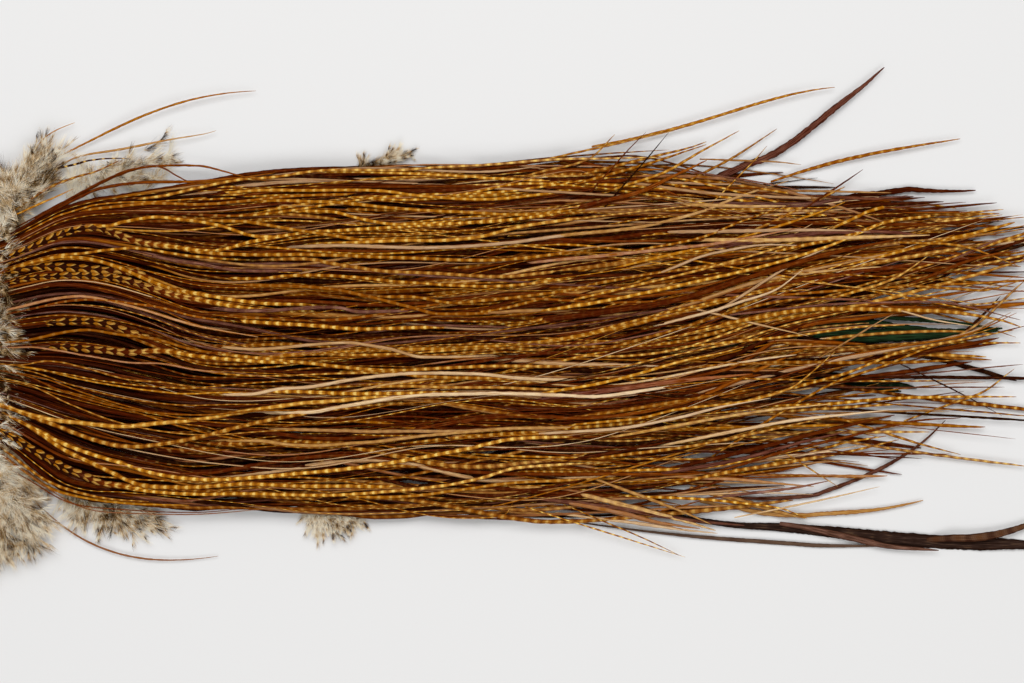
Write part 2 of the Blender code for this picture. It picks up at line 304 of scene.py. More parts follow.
# Bars and barbs of a vane, in centimetres along it, and how much their waves stray, in radians.
BAR_PERIOD = 0.36
BARB_PITCH = 0.035
BARS_STRAY = 5.0
BARBS_STRAY = 6.0
FULL_TURN = 2 * np.pi

# The shares of a feather's length between which drops beside the quill turn into bars over it.
DROPS_TO_BARS = (0.10, 0.26)

# Drops: where their middle lies from quill (0) to edge (1), how they lean and narrow away from
# it, how soft their outline is, and the painted highlight on one side of each: its outline and
# strength.
DROP_MIDDLE = 0.6
DROP_LEAN = -0.3
DROP_NARROWING = -3.6
DROP_OUTLINE = (-0.42, -0.14)
PAINTED_HIGHLIGHT_OUTLINE = (0.1, 1.1)
PAINTED_DROP_HIGHLIGHT = 0.42

# Light spots on the quill and dark bars between them: how they bow towards the vane's edge, and
# how soft their outline is.
SPOT_BOW = -0.45
SPOT_OUTLINE = (0.3, 0.95)
DARK_BOW = 0.35
DARK_OUTLINE = (0.2, 1.25)


def drops_beside_quill(tree, across, turns):
    """How much of a drop there is at a place, and how much painted highlight it has there."""
    off_middle = calculate(tree, "ABSOLUTE", calculate(tree, "SUBTRACT", across, DROP_MIDDLE))
    leaning = calculate(tree, "MULTIPLY_ADD", off_middle, DROP_LEAN, turns)
    wave = times(tree, calculate(tree, "COSINE", leaning), 0.5)
    off_squared = calculate(tree, "POWER", off_middle, 2.0)
    drop = calculate(tree, "MULTIPLY_ADD", off_squared, DROP_NARROWING, wave)
    # A painted highlight on one side of each drop.
    painted_highlight = ease(tree, calculate(tree, "SINE", leaning), *PAINTED_HIGHLIGHT_OUTLINE, 0.0, PAINTED_DROP_HIGHLIGHT)
    return ease(tree, drop, *DROP_OUTLINE), painted_highlight


def build_bars_group():
    """Cross bars of a hackle. Near the root they are two rows of drops beside the quill, each with a
    painted highlight on one side, and further out they meet over it. Along is in centimetres,
    Across runs from quill to edge."""
    tree, given, result = new_group(
        "hackle bars", ("Along", "Across", "Share", "Period"), ("Light", "Dark", "PaintedHighlight"))
    place = add_node(tree, "ShaderNodeCombineXYZ", {"X": given["Along"]}).outputs[0]
    stray = times(tree, speckle(tree, place, 1.3), BARS_STRAY)
    turns = calculate(tree, "DIVIDE", given["Along"], given["Period"])
    turns = calculate(tree, "MULTIPLY_ADD", turns, FULL_TURN, stray)
    wave = calculate(tree, "COSINE", turns)
    rooted = ease(tree, given["Share"], *DROPS_TO_BARS, 1.0, 0.0)
    outer = calculate(tree, "SUBTRACT", 1.0, rooted)
    drops, painted_highlight = drops_beside_quill(tree, given["Across"], turns)
    across_squared = calculate(tree, "POWER", given["Across"], 2.0)
    spot = calculate(tree, "MULTIPLY_ADD", across_squared, SPOT_BOW, wave)
    spots = times(tree, ease(tree, spot, *SPOT_OUTLINE), outer)
    trough = times(tree, wave, -1.0)
    between = calculate(tree, "MULTIPLY_ADD", given["Across"], DARK_BOW, trough)
    tree.links.new(calculate(tree, "ADD", times(tree, drops, rooted), spots), result["Light"])
    tree.links.new(times(tree, ease(tree, between, *DARK_OUTLINE), outer), result["Dark"])
    tree.links.new(painted_highlight, result["PaintedHighlight"])
    return tree


def vane_speckle(tree, given, along, across, scale, detail=2.0):
    """Noise that is drawn out along a vane or across it, by these factors of the place."""
    sockets = {"X": times(tree, given["Along"], along), "Y": times(tree, given["Across"], across)}
    place = add_node(tree, "ShaderNodeCombineXYZ", sockets).outputs[0]
    return speckle(tree, place, scale, detail)


def build_barbs_group():
    """Fine barbs side by side along the vane, broad streaks across them and thin lines along."""
    tree, given, result = new_group(
        "barbs", ("Along", "Across", "Pitch"), ("Ridge", "Streak", "Line"))
    turns = times(tree, calculate(tree, "DIVIDE", given["Along"], given["Pitch"]), FULL_TURN)
    stray = times(tree, vane_speckle(tree, given, 1.0, 1.0, 9.0), BARBS_STRAY)
    wave = calculate(tree, "SINE", calculate(tree, "ADD", turns, stray))
    tree.links.new(calculate(tree, "MULTIPLY_ADD", wave, 0.5, 0.5), result["Ridge"])
    tree.links.new(vane_speckle(tree, given, 1.0, 2.5, 2.2, detail=4.0), result["Streak"])
    tree.links.new(vane_speckle(tree, given, 0.35, 1.8, 5.0), result["Line"])
    return tree


# The colours of a kind of vane: by tone from dark to light, of the drops near the root, of the
# light spots further out, which the drops' painted highlight also takes, and what dark bars tint
# it with. Then how rough it is.
Plumage = namedtuple("Plumage", "name stops drop light_spot dark_bar roughness")
PLUMAGES = {
    "hackle": Plumage(
        "barred hackle",
        (
            (0.00, (0.005, 0.002, 0.001)),
            (0.15, (0.034, 0.004, 0.001)),
            (0.30, (0.108, 0.013, 0.001)),
            (0.45, (0.280, 0.064, 0.002)),
            (0.60, (0.520, 0.200, 0.006)),
            (0.75, (0.540, 0.270, 0.060)),
            (0.88, (0.660, 0.410, 0.180)),
            (1.00, (0.780, 0.570, 0.350)),
        ),
        (0.37, 0.13, 0.005), (0.90, 0.60, 0.15), (0.47, 0.32, 0.22), 0.42),
    "green_black": Plumage(
        "green-black hackle",
        (
            (0.00, (0.004, 0.006, 0.005)),
            (0.30, (0.006, 0.014, 0.008)),
            (0.60, (0.010, 0.034, 0.017)),
            (1.00, (0.024, 0.080, 0.042)),
        ),
        (0.03, 0.07, 0.04), (0.05, 0.12, 0.07), (0.7, 0.7, 0.7), 0.30),
    "tail": Plumage(
        "dark tail feather",
        (
            (0.00, (0.014, 0.008, 0.006)),
            (0.18, (0.042, 0.022, 0.016)),
            (0.40, (0.110, 0.062, 0.040)),
            (1.00, (0.300, 0.180, 0.110)),
        ),
        (0.12, 0.07, 0.04), (0.16, 0.08, 0.04), (0.5, 0.4, 0.4), 0.36),
}
# Colours of the painted mauve sheen and of the thin lines of painted highlight, then of the green-black
# vanes, deep and in their sheen, and what tints the quill.
MAUVE_PAINTED_SHEEN = (0.40, 0.22, 0.17)
PAINTED_HIGHLIGHT_LINE = (0.46, 0.24, 0.10)
GREEN_DEEP = (0.005, 0.009, 0.004)
GREEN_SHEEN = (0.014, 0.040, 0.015)
QUILL_TINT = (0.62, 0.5, 0.42)

# How far streaks and lines raise or lower the tone, and how strong the thin lines of painted
# highlight are.
TONE_SWAY = 0.3
PAINTED_HIGHLIGHT_STRENGTH = 0.22
# Painted shade that makes a vane look round: how bright it is at its quill side, at its edge near
# the root and at its edge further out.
MIDDLE_SHADE = 1.05
ROOT_EDGE_SHADE = 0.72
OUTER_EDGE_SHADE = 0.5
# Red fades less than green and blue where a vane is darker, so that its deep parts stay warm.
SHADOW_POWERS = (1.0, 1.4, 1.65)
VANE_SHINE = 0.04
VANE_RELIEF = 0.06 * MM


def vane_colour(tree, plumage, given, bars, barbs):
    """A vane's colour by its tone, with its bars, streaks of painted mauve sheen and thin lines of
    painted highlight. A tone far below black is green."""
    line = barbs["Line"]
    tone = swayed(tree, given["tone"], barbs["Streak"], TONE_SWAY)
    tone = swayed(tree, tone, line, TONE_SWAY)
    colour = colour_ramp(tree, tone, plumage.stops)
    dark = times(tree, bars["Dark"], given["barring"])
    colour = mix_colours(tree, dark, colour, tinted(tree, colour, plumage.dark_bar))
    # Drops, brightened towards the light spots' colour by their painted highlight.
    drop = mix_colours(tree, bars["PaintedHighlight"], plumage.drop, plumage.light_spot)
    spot = mix_colours(tree, ease(tree, given["share"], *DROPS_TO_BARS), drop, plumage.light_spot)
    colour = mix_colours(tree, times(tree, bars["Light"], given["barring"]), colour, spot)
    # Painted mauve sheen, in streaks.
    bloom = times(tree, given["bloom"], ease(tree, line, 0.38, 0.62))
    colour = mix_colours(tree, bloom, colour, MAUVE_PAINTED_SHEEN)
    # Thin lines of painted highlight.
    colour = mix_colours(tree, ease(tree, line, 0.60, 0.72, 0.0, PAINTED_HIGHLIGHT_STRENGTH), colour, PAINTED_HIGHLIGHT_LINE)
    green = mix_colours(tree, ease(tree, line, 0.3, 0.7), GREEN_DEEP, GREEN_SHEEN)
    return mix_colours(tree, ease(tree, given["tone"], -0.4, -0.3, 1.0, 0.0), colour, green)


def vane_shading(tree, colour, given, across, barbs):
    """The colour, darker along the quill, with painted shade towards the vane's edges and between
    its barbs, streaks along the barbs that are partly their own tone and partly painted highlight,
    and each feather's brightness.
    """
    quill = ease(tree, across, 0.05, 0.16, 0.45, 0.0)
    colour = mix_colours(tree, quill, colour, tinted(tree, colour, QUILL_TINT))
    # Painted shade between the barbs.
    ridge = ease(tree, barbs["Ridge"], 0.0, 1.0, 0.85, 1.08)
    # Painted shade towards the edges, so that each vane looks round.
    edge_shade = ease(tree, given["share"], 0.12, 0.30, ROOT_EDGE_SHADE, OUTER_EDGE_SHADE)
    painted_round_shade = times(tree, ridge, ease(tree, across, 0.35, 1.0, MIDDLE_SHADE, edge_shade))
    # Streaks along the barbs: partly their own tone, partly painted highlight.
    streaked = times(tree, painted_round_shade, ease(tree, barbs["Line"], 0.35, 0.65, 0.72, 1.15))
    # Each feather's own brightness, with painted shade for those deep in the mat.
    bright = times(tree, given["shade"], streaked)
    channels = [calculate(tree, "POWER", bright, power) for power in SHADOW_POWERS]
    return tinted(tree, colour, add_node(tree, "ShaderNodeCombineColor", enumerate(channels)).outputs[0])


def make_vane_material(plumage, bars_group, barbs_group):
    """A barred vane. Its colour comes from its tone, and its bars from their place along it."""
    material, tree, shader = new_material(plumage.name)
    place = add_node(tree, "ShaderNodeUVMap", uv_map="vane").outputs["UV"]
    parts = add_node(tree, "ShaderNodeSeparateXYZ", {0: place}).outputs
    across = calculate(tree, "ABSOLUTE", calculate(tree, "MULTIPLY_ADD", parts["Y"], 2.0, -1.0))
    given = {label: attribute(tree, label) for label in (*Finish._fields, "share")}
    on_vane = {"Along": parts["X"], "Across": across}
    bars_sockets = {**on_vane, "Share": given["share"], "Period": BAR_PERIOD}
    bars = add_node(tree, "ShaderNodeGroup", bars_sockets, node_tree=bars_group).outputs
    barbs_sockets = {**on_vane, "Pitch": BARB_PITCH}
    barbs = add_node(tree, "ShaderNodeGroup", barbs_sockets, node_tree=barbs_group).outputs
    colour = vane_colour(tree, plumage, given, bars, barbs)
    colour = vane_shading(tree, colour, given, across, barbs)
    tree.links.new(colour, shader.inputs["Base Color"])
    shader.inputs["Specular IOR Level"].default_value = VANE_SHINE
    shader.inputs["Specular Tint"].default_value = (*plumage.light_spot, 1)
    smoothest, roughest = plumage.roughness - 0.07, plumage.roughness + 0.12
    rough = ease(tree, barbs["Streak"], 0.2, 0.8, smoothest, roughest)
    tree.links.new(rough, shader.inputs["Roughness"])
    bump(tree, shader, barbs["Ridge"], 0.5, VANE_RELIEF)
    return material


DOWN_STOPS = (
    (0.00, (0.030, 0.014, 0.005)),
    (0.25, (0.190, 0.095, 0.028)),
    (0.50, (0.510, 0.305, 0.120)),
    (0.75, (0.850, 0.640, 0.365)),
    (1.00, (0.990, 0.910, 0.740)),
)
DOWN_SHINE = 0.05
DOWN_SHINE_TINT = (0.9, 0.7, 0.45)
# Small mottles and larger patches: how many there are to a metre, and how far they move the tone.
MOTTLES = (420.0, 0.8)
PATCHES = (130.0, 1.6)
FLUFF_SCALE = 2600.0


def make_down_material():
    """Grizzled down: creamy barbs with brown and black mottles, and painted shade from each barb's
    shade value.
    """
    material, tree, shader = new_material("down")
    tone = attribute(tree, "tone")
    shade = attribute(tree, "shade")
    place = add_node(tree, "ShaderNodeTexCoord").outputs["Object"]
    mottle = speckle(tree, place, MOTTLES[0], 3.0)
    tone = swayed(tree, tone, mottle, MOTTLES[1])
    tone = swayed(tree, tone, speckle(tree, place, PATCHES[0], 1.0), PATCHES[1])
    # Each barb's shade value darkens it: painted shade towards its root, and some random difference
    # between plumes.
    grey = add_node(tree, "ShaderNodeCombineColor", {0: shade, 1: shade, 2: shade}).outputs[0]
    colour = tinted(tree, colour_ramp(tree, tone, DOWN_STOPS), grey)
    tree.links.new(colour, shader.inputs["Base Color"])
    shader.inputs["Specular IOR Level"].default_value = DOWN_SHINE
    shader.inputs["Specular Tint"].default_value = (*DOWN_SHINE_TINT, 1)
    tree.links.new(ease(tree, mottle, 0.2, 0.8, 0.75, 0.95), shader.inputs["Roughness"])
    bump(tree, shader, speckle(tree, place, FLUFF_SCALE), 0.6, 0.3 * MM)
    return material


SKIN_STOPS = ((0.3, (0.30, 0.17, 0.07)), (0.5, (0.56, 0.40, 0.22)), (0.7, (0.70, 0.56, 0.36)))
SKIN_PIT = (0.16, 0.08, 0.04)
# To a metre: blotches, feather pits and the grain between them.
BLOTCH_SCALE = 70.0
PIT_SCALE = 420.0
GRAIN_SCALE = 900.0


def make_skin_material():
    """Dried skin: yellowish, with darker blotches, small feather pits and a dull shine."""
    material, tree, shader = new_material("dried skin")
    place = add_node(tree, "ShaderNodeTexCoord").outputs["Object"]
    blotch = speckle(tree, place, BLOTCH_SCALE, 5.0)
    pits = add_node(tree, "ShaderNodeTexVoronoi", {"Vector": place, "Scale": PIT_SCALE})
    raised = ease(tree, pits.outputs["Distance"], 0.05, 0.3)
    colour = colour_ramp(tree, blotch, SKIN_STOPS)
    colour = mix_colours(tree, ease(tree, raised, 0.0, 1.0, 0.5, 0.0), colour, SKIN_PIT)
    tree.links.new(colour, shader.inputs["Base Color"])
    tree.links.new(ease(tree, blotch, 0.3, 0.7, 0.42, 0.66), shader.inputs["Roughness"])
    grain = times(tree, speckle(tree, place, GRAIN_SCALE), 0.6)
    bump(tree, shader, calculate(tree, "ADD", raised, grain), 0.7, 0.3 * MM)
    return material


def new_mesh_piece(name, bm):
    mesh = bpy.data.meshes.new(name)
    bm.to_mesh(mesh)
    bm.free()
    obj = bpy.data.objects.new(name, mesh)
    bpy.context.scene.collection.objects.link(obj)
    return obj


def point_places(mesh):
    points = np.empty(len(mesh.vertices) * 3)
    mesh.vertices.foreach_get("co", points)
    return points.reshape(-1, 3)


def put_values(mesh, name, values):
    mesh.attributes.new(name, "FLOAT", "POINT").data.foreach_set("value", np.asarray(values, np.float32))


def put_uv(mesh, name, places):
    mesh.uv_layers.new(name=name).data.foreach_set("uv", np.asarray(places, np.float32).ravel())


def finish_piece(obj, slot, *replaced):
    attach(obj, "root")
    if replaced:
        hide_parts(*replaced)


# How wide a vane is as a share of its full width: at its root, until it has risen from the skin,
# and at its very tip. It also slims slowly all the way, to SLIMMING.
ROOT_WIDTH = 0.55
ROOT_RISE = 20 * MM
TIP_WIDTH = 0.15
TIP_ROUNDING = 0.6
SLIMMING = 0.76

# The barbs lean towards the tip by this many half widths, and the vane's halves bend down.
ROOT_LEAN = 1.0
OUTER_LEAN = 0.5
LEANING_LENGTH = 140 * MM
FOLD_CURVE = 1.6

# Nothing reaches lower than this over the floor.
LOWEST_POINT = 0.15 * MM

# The second UV map gives each feather this many strips, with a margin beside each.
BAKE_ROWS = 3
BAKE_MARGIN = 0.12
BAKE_END_MARGIN = 0.004


def length_along(route):
    """How far each point is from the route's start, along it."""
    steps = np.linalg.norm(np.diff(route, axis=0), axis=1)
    return np.concatenate([[0], np.cumsum(steps)])


def unit(vectors):
    return vectors / np.linalg.norm(vectors, axis=1)[:, None]


def vane_widths(feather, from_root):
    """Half the vane's width at each point of its route."""
    to_tip = from_root[-1] - from_root
    share = np.linspace(0, 1, len(from_root))
    width = np.minimum(1, ROOT_WIDTH + (1 - ROOT_WIDTH) * from_root / ROOT_RISE)
    near_tip = np.clip(to_tip / feather.tip_length, 0, 1) ** TIP_ROUNDING
    width *= TIP_WIDTH + (1 - TIP_WIDTH) * near_tip
    width *= SLIMMING + (1 - SLIMMING) * (1 - share)
    return width * feather.half_width


def vane_points(feather, station, across, chance):
    """Where the points of a flat grid go when it becomes this feather's vane."""
    stations = len(feather.route)
    ahead = unit(np.gradient(feather.route, axis=0))
    side = unit(np.stack([-ahead[:, 1], ahead[:, 0], np.zeros(stations)], axis=1))
    up = np.cross(ahead, side)
    roll = np.asarray(feather.roll)[:, None]
    turned = side * np.cos(roll) + up * np.sin(roll)
    raised = up * np.cos(roll) - side * np.sin(roll)
    from_root = length_along(feather.route)
    width = vane_widths(feather, from_root)[station][:, None]
    teeth = 1 - chance.uniform(0, feather.teeth, (stations, 2))
    at_edge = abs(across) > 0.99
    ragged = np.where(at_edge, teeth[station, (across > 0).astype(int)], 1)[:, None]
    near_root = (1 - smooth_step(0, LEANING_LENGTH, from_root)) * (feather.first_share == 0)
    lean = (OUTER_LEAN + (ROOT_LEAN - OUTER_LEAN) * near_root)[station][:, None]
    outward = abs(across)[:, None]
    points = feather.route[station] + turned[station] * width * across[:, None] * ragged
    points = points + ahead[station] * width * outward * ragged * lean
    points = points - raised[station] * width * feather.fold * outward ** FOLD_CURVE
    points[:, 2] = np.maximum(points[:, 2], LOWEST_POINT)
    return points


def make_feathers(name, feathers, material, chance):
    """One piece of feathers. Each starts as a flat grid of its own, and is bent to its route."""
    bm = bmesh.new()
    for feather in feathers:
        rows = len(feather.route) - 1
        bmesh.ops.create_grid(bm, x_segments=rows, y_segments=feather.columns, size=1)
    obj = new_mesh_piece(name, bm)
    mesh = obj.data
    points = point_places(mesh)
    along = (points[:, 0] + 1) / 2
    across = points[:, 1].copy()
    centimetres = np.empty(len(points))
    number = np.empty(len(points))
    values = {label: np.empty(len(points)) for label in (*Finish._fields, "share")}
    start = 0
    for i, feather in enumerate(feathers):
        stations = len(feather.route)
        end = start + stations * (feather.columns + 1)
        own = slice(start, end)
        station = np.rint(along[own] * (stations - 1)).astype(int)
        points[own] = vane_points(feather, station, across[own], chance)
        quill = length_along(feather.route)[station]
        centimetres[own] = quill / MM / 10 * feather.bar_scale + feather.phase
        number[own] = i
        for label in Finish._fields:
            values[label][own] = np.broadcast_to(getattr(feather.finish, label), stations)[station]
        values["share"][own] = feather.first_share + (1 - feather.first_share) * along[own]
        start = end
    mesh.vertices.foreach_set("co", points.ravel())
    for label, numbers in values.items():
        put_values(mesh, label, numbers)
    corner = np.empty(len(mesh.loops), int)
    mesh.loops.foreach_get("vertex_index", corner)
    put_uv(mesh, "vane", np.stack([centimetres[corner], across[corner] / 2 + 0.5], axis=1))
    put_uv(mesh, "OFBake", baking_strips(along[corner], across[corner], number[corner], len(feathers)))
    mesh.materials.append(material)
    mesh.shade_smooth()
    mesh.update()
    return obj


def baking_strips(along, across, number, feathers):
    """A second UV map, in which each feather fills a few strips of its own from side to side."""
    middle = along.reshape(-1, 4).mean(axis=1).repeat(4)
    row = np.minimum((middle * BAKE_ROWS).astype(int), BAKE_ROWS - 1)
    strip = number * BAKE_ROWS + row
    inside = 0.5 + across * (0.5 - BAKE_MARGIN)
    left = BAKE_END_MARGIN + (along * BAKE_ROWS - row) * (1 - 2 * BAKE_END_MARGIN)
    return np.stack([left, (strip + inside) / (feathers * BAKE_ROWS)], axis=1)


def wander(x, chance, size, wave):
    """A slow random swing from side to side along X."""
    first, second = chance.uniform(0, FULL_TURN, 2)
    turns = x / wave * FULL_TURN
    return size * (0.65 * np.sin(turns + first) + 0.35 * np.sin(2.3 * turns + second))


def row_count(length, spacing):
    return max(int(length / spacing), 6)


# Feathers in each lock. The outer ones are made only from where they come out from under the
# others, and the fine ones lie on top.
UPPER_FEATHERS = 19
OUTER_FEATHERS = 6
FINE_FEATHERS = 2
LOWER_FEATHERS = 10
GREEN_BLACK_FEATHERS = 5

# How often each finish comes in each kind of feather.
UPPER_MIX = (("gold", 0.31), ("orange", 0.06), ("mahogany", 0.29), ("buff", 0.06), ("cream", 0.035),
             ("mauve", 0.06), ("rose", 0.045), ("dark", 0.14))
LOWER_MIX = (("gold", 0.25), ("orange", 0.12), ("mahogany", 0.38), ("buff", 0.05), ("dark", 0.20))
FINE_MIX = (("gold", 0.30), ("orange", 0.22), ("rose", 0.14), ("cream", 0.06), ("mahogany", 0.28))

# How finely the shown and the hidden feathers are modelled along their length. A feather is
# shown from this level in its layer, from its underside (0) to its top (1).
SHOWN_LEVEL = 0.45
SHOWN_SPACING = 1.8 * MM
HIDDEN_SPACING = 3.5 * MM
SHOWN_COLUMNS = 4
HIDDEN_COLUMNS = 2

# Where a feather starts and ends: how far apart the roots lie along X, where an outer one starts
# as a share of its lock, and how much of the lock a tip may fall short of.
ROOTS_SPREAD = 8 * MM
OUTER_START = (0.3, 0.6)
OUTER_SHARE = 0.35
TIPS_SPREAD = 0.38

# How a feather leaves its lane: where, as shares of its lock, how gradually it turns, how much
# upward and how unevenly, and how far past the mat's edge a whole one may end, or inside it.
LEAVES_AT = (0.35, 0.8)
TURNING_LENGTH = 25 * MM
TURN = (0.08, 0.12)
OUTER_TURN = 0.1
OUTER_TURN_LANES = 4
PAST_EDGE = 4 * MM
INSIDE_EDGE = 14 * MM

# A feather's own roll and slow waves, as their size and length: its lane, height and roll.
LANE_SWING = 0.8
LANE_WAVE = 0.21
HEIGHT_SWING = 0.35
HEIGHT_WAVE = 0.12
ROLL = 0.4
ROLL_SWING = 0.45
ROLL_WAVE = 0.16
LOWEST_QUILL = 0.5 * MM

# Half widths in millimetres. Fine and green-black feathers have a range, and the others spread
# upward from the narrowest.
FINE_WIDTH = (0.16, 0.30)
NARROWEST = 0.38
WIDTH_SPREAD = 0.95
GREEN_BLACK_WIDTH = (2.2, 3.0)

# Painted shade of feathers deep in the mat: how bright the deepest ones are, from what share of
# its length a tip gets brighter, and how much of the shade it loses there.
DEEP_SHADE = 0.13
DEEP_TIP_FROM = 0.78
TIP_LIGHTENING = 0.8

# The shares of its length at which a feather starts to take its own finish and has it whole, as
# the ranges that they are drawn from. A few feathers take it early.
COLOURING = ((0.02, 0.20), (0.22, 0.45))
EARLY_COLOURING = ((0.0, 0.08), (0.1, 0.2))
EARLY_SHARE = 0.06
# The tone of roots, and how much lighter some of them are.
ROOT_TONE = (0.12, 0.30)
LIGHT_ROOT_TONE = 0.22
LIGHT_ROOT_SHARE = 0.12
# How feathers of a finish differ: in tone, in how the tone changes outward, in brightness and in
# how strong their bars are.
TONE_SPREAD = 0.03
OUTER_TONE = (-0.05, 0.18)
SHADES = (0.60, 1.20)
BARRINGS = (0.5, 1.0)


def pick(mix, chance):
    names = [name for name, weight in mix]
    weights = np.array([weight for name, weight in mix])
    return FINISHES[names[chance.choice(len(names), p=weights / weights.sum())]]


def along_finish(finish, share, chance):
    """A finish along a feather: plain mahogany at its root, with a brightness of its own."""
    early = chance.uniform() < EARLY_SHARE
    starts, whole = EARLY_COLOURING if early else COLOURING
    colouring = smooth_step(chance.uniform(*starts), chance.uniform(*whole), share)
    root_tone = chance.uniform(*ROOT_TONE) + LIGHT_ROOT_TONE * (chance.uniform() < LIGHT_ROOT_SHARE)
    root_tone = min(finish.tone, root_tone)
    if finish.tone < 0:
        return finish
    tone = root_tone + (finish.tone - root_tone) * colouring + chance.normal(0, TONE_SPREAD)
    tone = tone + chance.uniform(*OUTER_TONE) * smooth_step(0.55, 1, share)
    shade = finish.shade * chance.uniform(*SHADES)
    shade = shade * (0.92 + 0.08 * smooth_step(0.15, 0.45, share) + 0.09 * smooth_step(0.6, 1, share))
    barring = finish.barring * colouring * chance.uniform(*BARRINGS)
    return Finish(tone, barring, shade, finish.bloom)


# Where the mat parts over the green-black feathers, as X and Y of the middle and half its size.
PARTING_MIDDLE = (310 * MM, -0.3 * MM)
PARTING_SIZE = (52 * MM, 4.5 * MM)


def clear_of_parting(x, y):
    """Y of a feather of the mat's top, eased to its own side of the parting."""
    along = np.clip(abs(x - PARTING_MIDDLE[0]) / PARTING_SIZE[0], 0, 1)
    strength = (1 - along ** 2) ** 2
    away = y - PARTING_MIDDLE[1]
    side = 1 if away[np.argmin(along)] > 0 else -1
    aside = side * np.sqrt(away ** 2 + PARTING_SIZE[1] ** 2)
    return PARTING_MIDDLE[1] + away * (1 - strength) + aside * strength


def lane_ends(layer, row, outer, chance):
    """X of the root and the tip of a feather in this lock."""
    reach = layer.tips[row] - layer.roots[row]
    begin = chance.uniform(*OUTER_START) * reach if outer else chance.uniform(0, ROOTS_SPREAD)
    length = reach * (1 - TIPS_SPREAD * chance.uniform() ** 1.35)
    return layer.roots[row] + begin, layer.roots[row] + length


def leave_lane(layer, row, lane, x, y, outer, chance):
    """Y of a feather that leaves its lane part way along. Further out it goes straight on and
    turns a little, mostly upward, without leaving the mat far."""
    first = layer.roots[row]
    reach = layer.tips[row] - first
    there = int(np.argmin(abs(x - first - reach * chance.uniform(*LEAVES_AT))))
    past = np.maximum(x - x[there], 0)
    straight = y[there] + np.gradient(y, x)[there] * past
    bent = past ** 2 / (past + TURNING_LENGTH)
    farthest = PAST_EDGE * ((x[-1] - first) / reach) ** 4
    past_edge = np.minimum(chance.exponential(farthest, 2), 2 * farthest)
    above, below = past_edge - chance.uniform(0, INSIDE_EDGE, 2)
    highest = layer.y(x[-1:], np.array([0.0]))[0] + above
    lowest = layer.y(x[-1:], np.array([len(layer.names) - 0.5]))[0] - below
    turn = chance.normal(*TURN)
    if outer:
        turn += OUTER_TURN * max(0, 1 - lane / OUTER_TURN_LANES)
    if bent[-1] > 0:
        turn = np.clip(turn, (lowest - straight[-1]) / bent[-1], (highest - straight[-1]) / bent[-1])
    return np.where(past > 0, straight + turn * bent, y)


def lane_finish(mix, level, share, first_share, chance):
    """A finish for a feather in a lane, with painted shade: darker the deeper it lies, and less so
    at its tip.
    """
    finish = along_finish(pick(mix, chance), first_share + (1 - first_share) * share, chance)
    # Painted shade by how deep the feather lies in the mat, easing off towards its tip.
    depth = DEEP_SHADE + (1 - DEEP_SHADE) * level ** 1.3
    depth = depth + TIP_LIGHTENING * (1 - depth) * smooth_step(DEEP_TIP_FROM, 1.0, share)
    return finish._replace(shade=finish.shade * depth)


def lane_feather(layer, lane, chance, mix, outer=False):
    """A feather that follows a lane of the mat at first. Further out it goes its own way."""
    row = int(layer.nearest(lane))
    fine = mix is FINE_MIX
    level = 1.0 if fine else chance.uniform(0.5 if outer else 0, 1)
    shown = level > SHOWN_LEVEL and mix is UPPER_MIX
    root, tip = lane_ends(layer, row, outer, chance)
    rows = row_count(tip - root, SHOWN_SPACING if shown else HIDDEN_SPACING)
    share = np.linspace(0, 1, rows + 1)
    x = root + (tip - root) * share
    along_lock = (x - layer.roots[row]) / (layer.tips[row] - layer.roots[row])
    swing = min(LANE_SWING, lane + 0.7, len(layer.names) - 0.3 - lane)
    lanes = lane + wander(x, chance, swing, LANE_WAVE) * smooth_step(0.02, 0.3, along_lock)
    y = leave_lane(layer, row, lane, x, layer.y(x, lanes), outer, chance)
    if mix is not LOWER_MIX:
        y = clear_of_parting(x, y)
    rising = smooth_step(0, 25 * MM, x - root) if outer else 1
    z = layer.height(x, layer.lanes_at(x, y), level * rising)
    z = z + wander(x, chance, HEIGHT_SWING, HEIGHT_WAVE) * MM
    roll = chance.normal(0, ROLL) + wander(x, chance, ROLL_SWING, ROLL_WAVE)
    width = chance.uniform(*FINE_WIDTH) if fine else NARROWEST + WIDTH_SPREAD * chance.uniform() ** 2.2
    first_share = OUTER_SHARE if outer or fine else 0.0
    finish = lane_finish(mix, level, share, first_share, chance)
    return Feather(
        np.stack([x, y, np.maximum(z, LOWEST_QUILL)], axis=1), width * MM, finish,
        fold=chance.uniform(0.6, 1.0), roll=roll, columns=SHOWN_COLUMNS if shown else HIDDEN_COLUMNS,
        phase=chance.uniform(0, 60), bar_scale=chance.uniform(0.8, 1.25),
        tip_length=chance.uniform(7, 26) * MM, first_share=first_share)


def lock_feathers(layer, row, count, mix, chance):
    """The feathers of one lock. The green-black ones are a few broad vanes."""
    lanes = row + (chance.permutation(count) + 0.5) / count - 0.5
    feathers = [lane_feather(layer, lane, chance, mix) for lane in lanes]
    if mix is UPPER_MIX:
        outer_lanes = row + chance.uniform(-0.5, 0.5, OUTER_FEATHERS)
        feathers += [lane_feather(layer, lane, chance, mix, outer=True) for lane in outer_lanes]
        fine_lanes = row + chance.uniform(-0.5, 0.5, FINE_FEATHERS)
        feathers += [lane_feather(layer, lane, chance, FINE_MIX) for lane in fine_lanes]
    if layer.names[row].startswith("green_black"):
        feathers = [
            feather._replace(
                half_width=chance.uniform(*GREEN_BLACK_WIDTH) * MM, fold=0.25, roll=0 * feather.roll)
            for feather in feathers[:GREEN_BLACK_FEATHERS]
        ]
    return feathers


def make_locks(layer, count, mix, slots, materials, chance, traced):
    for row, name in enumerate(layer.names):
        feathers = lock_feathers(layer, row, count, mix, chance) + traced.get(row, [])
        kind = "green_black" if name.startswith("green_black") else "hackle"
        piece = make_feathers(name + "_feathers", feathers, materials[kind], chance)
        finish_piece(piece, slots[kind], name)


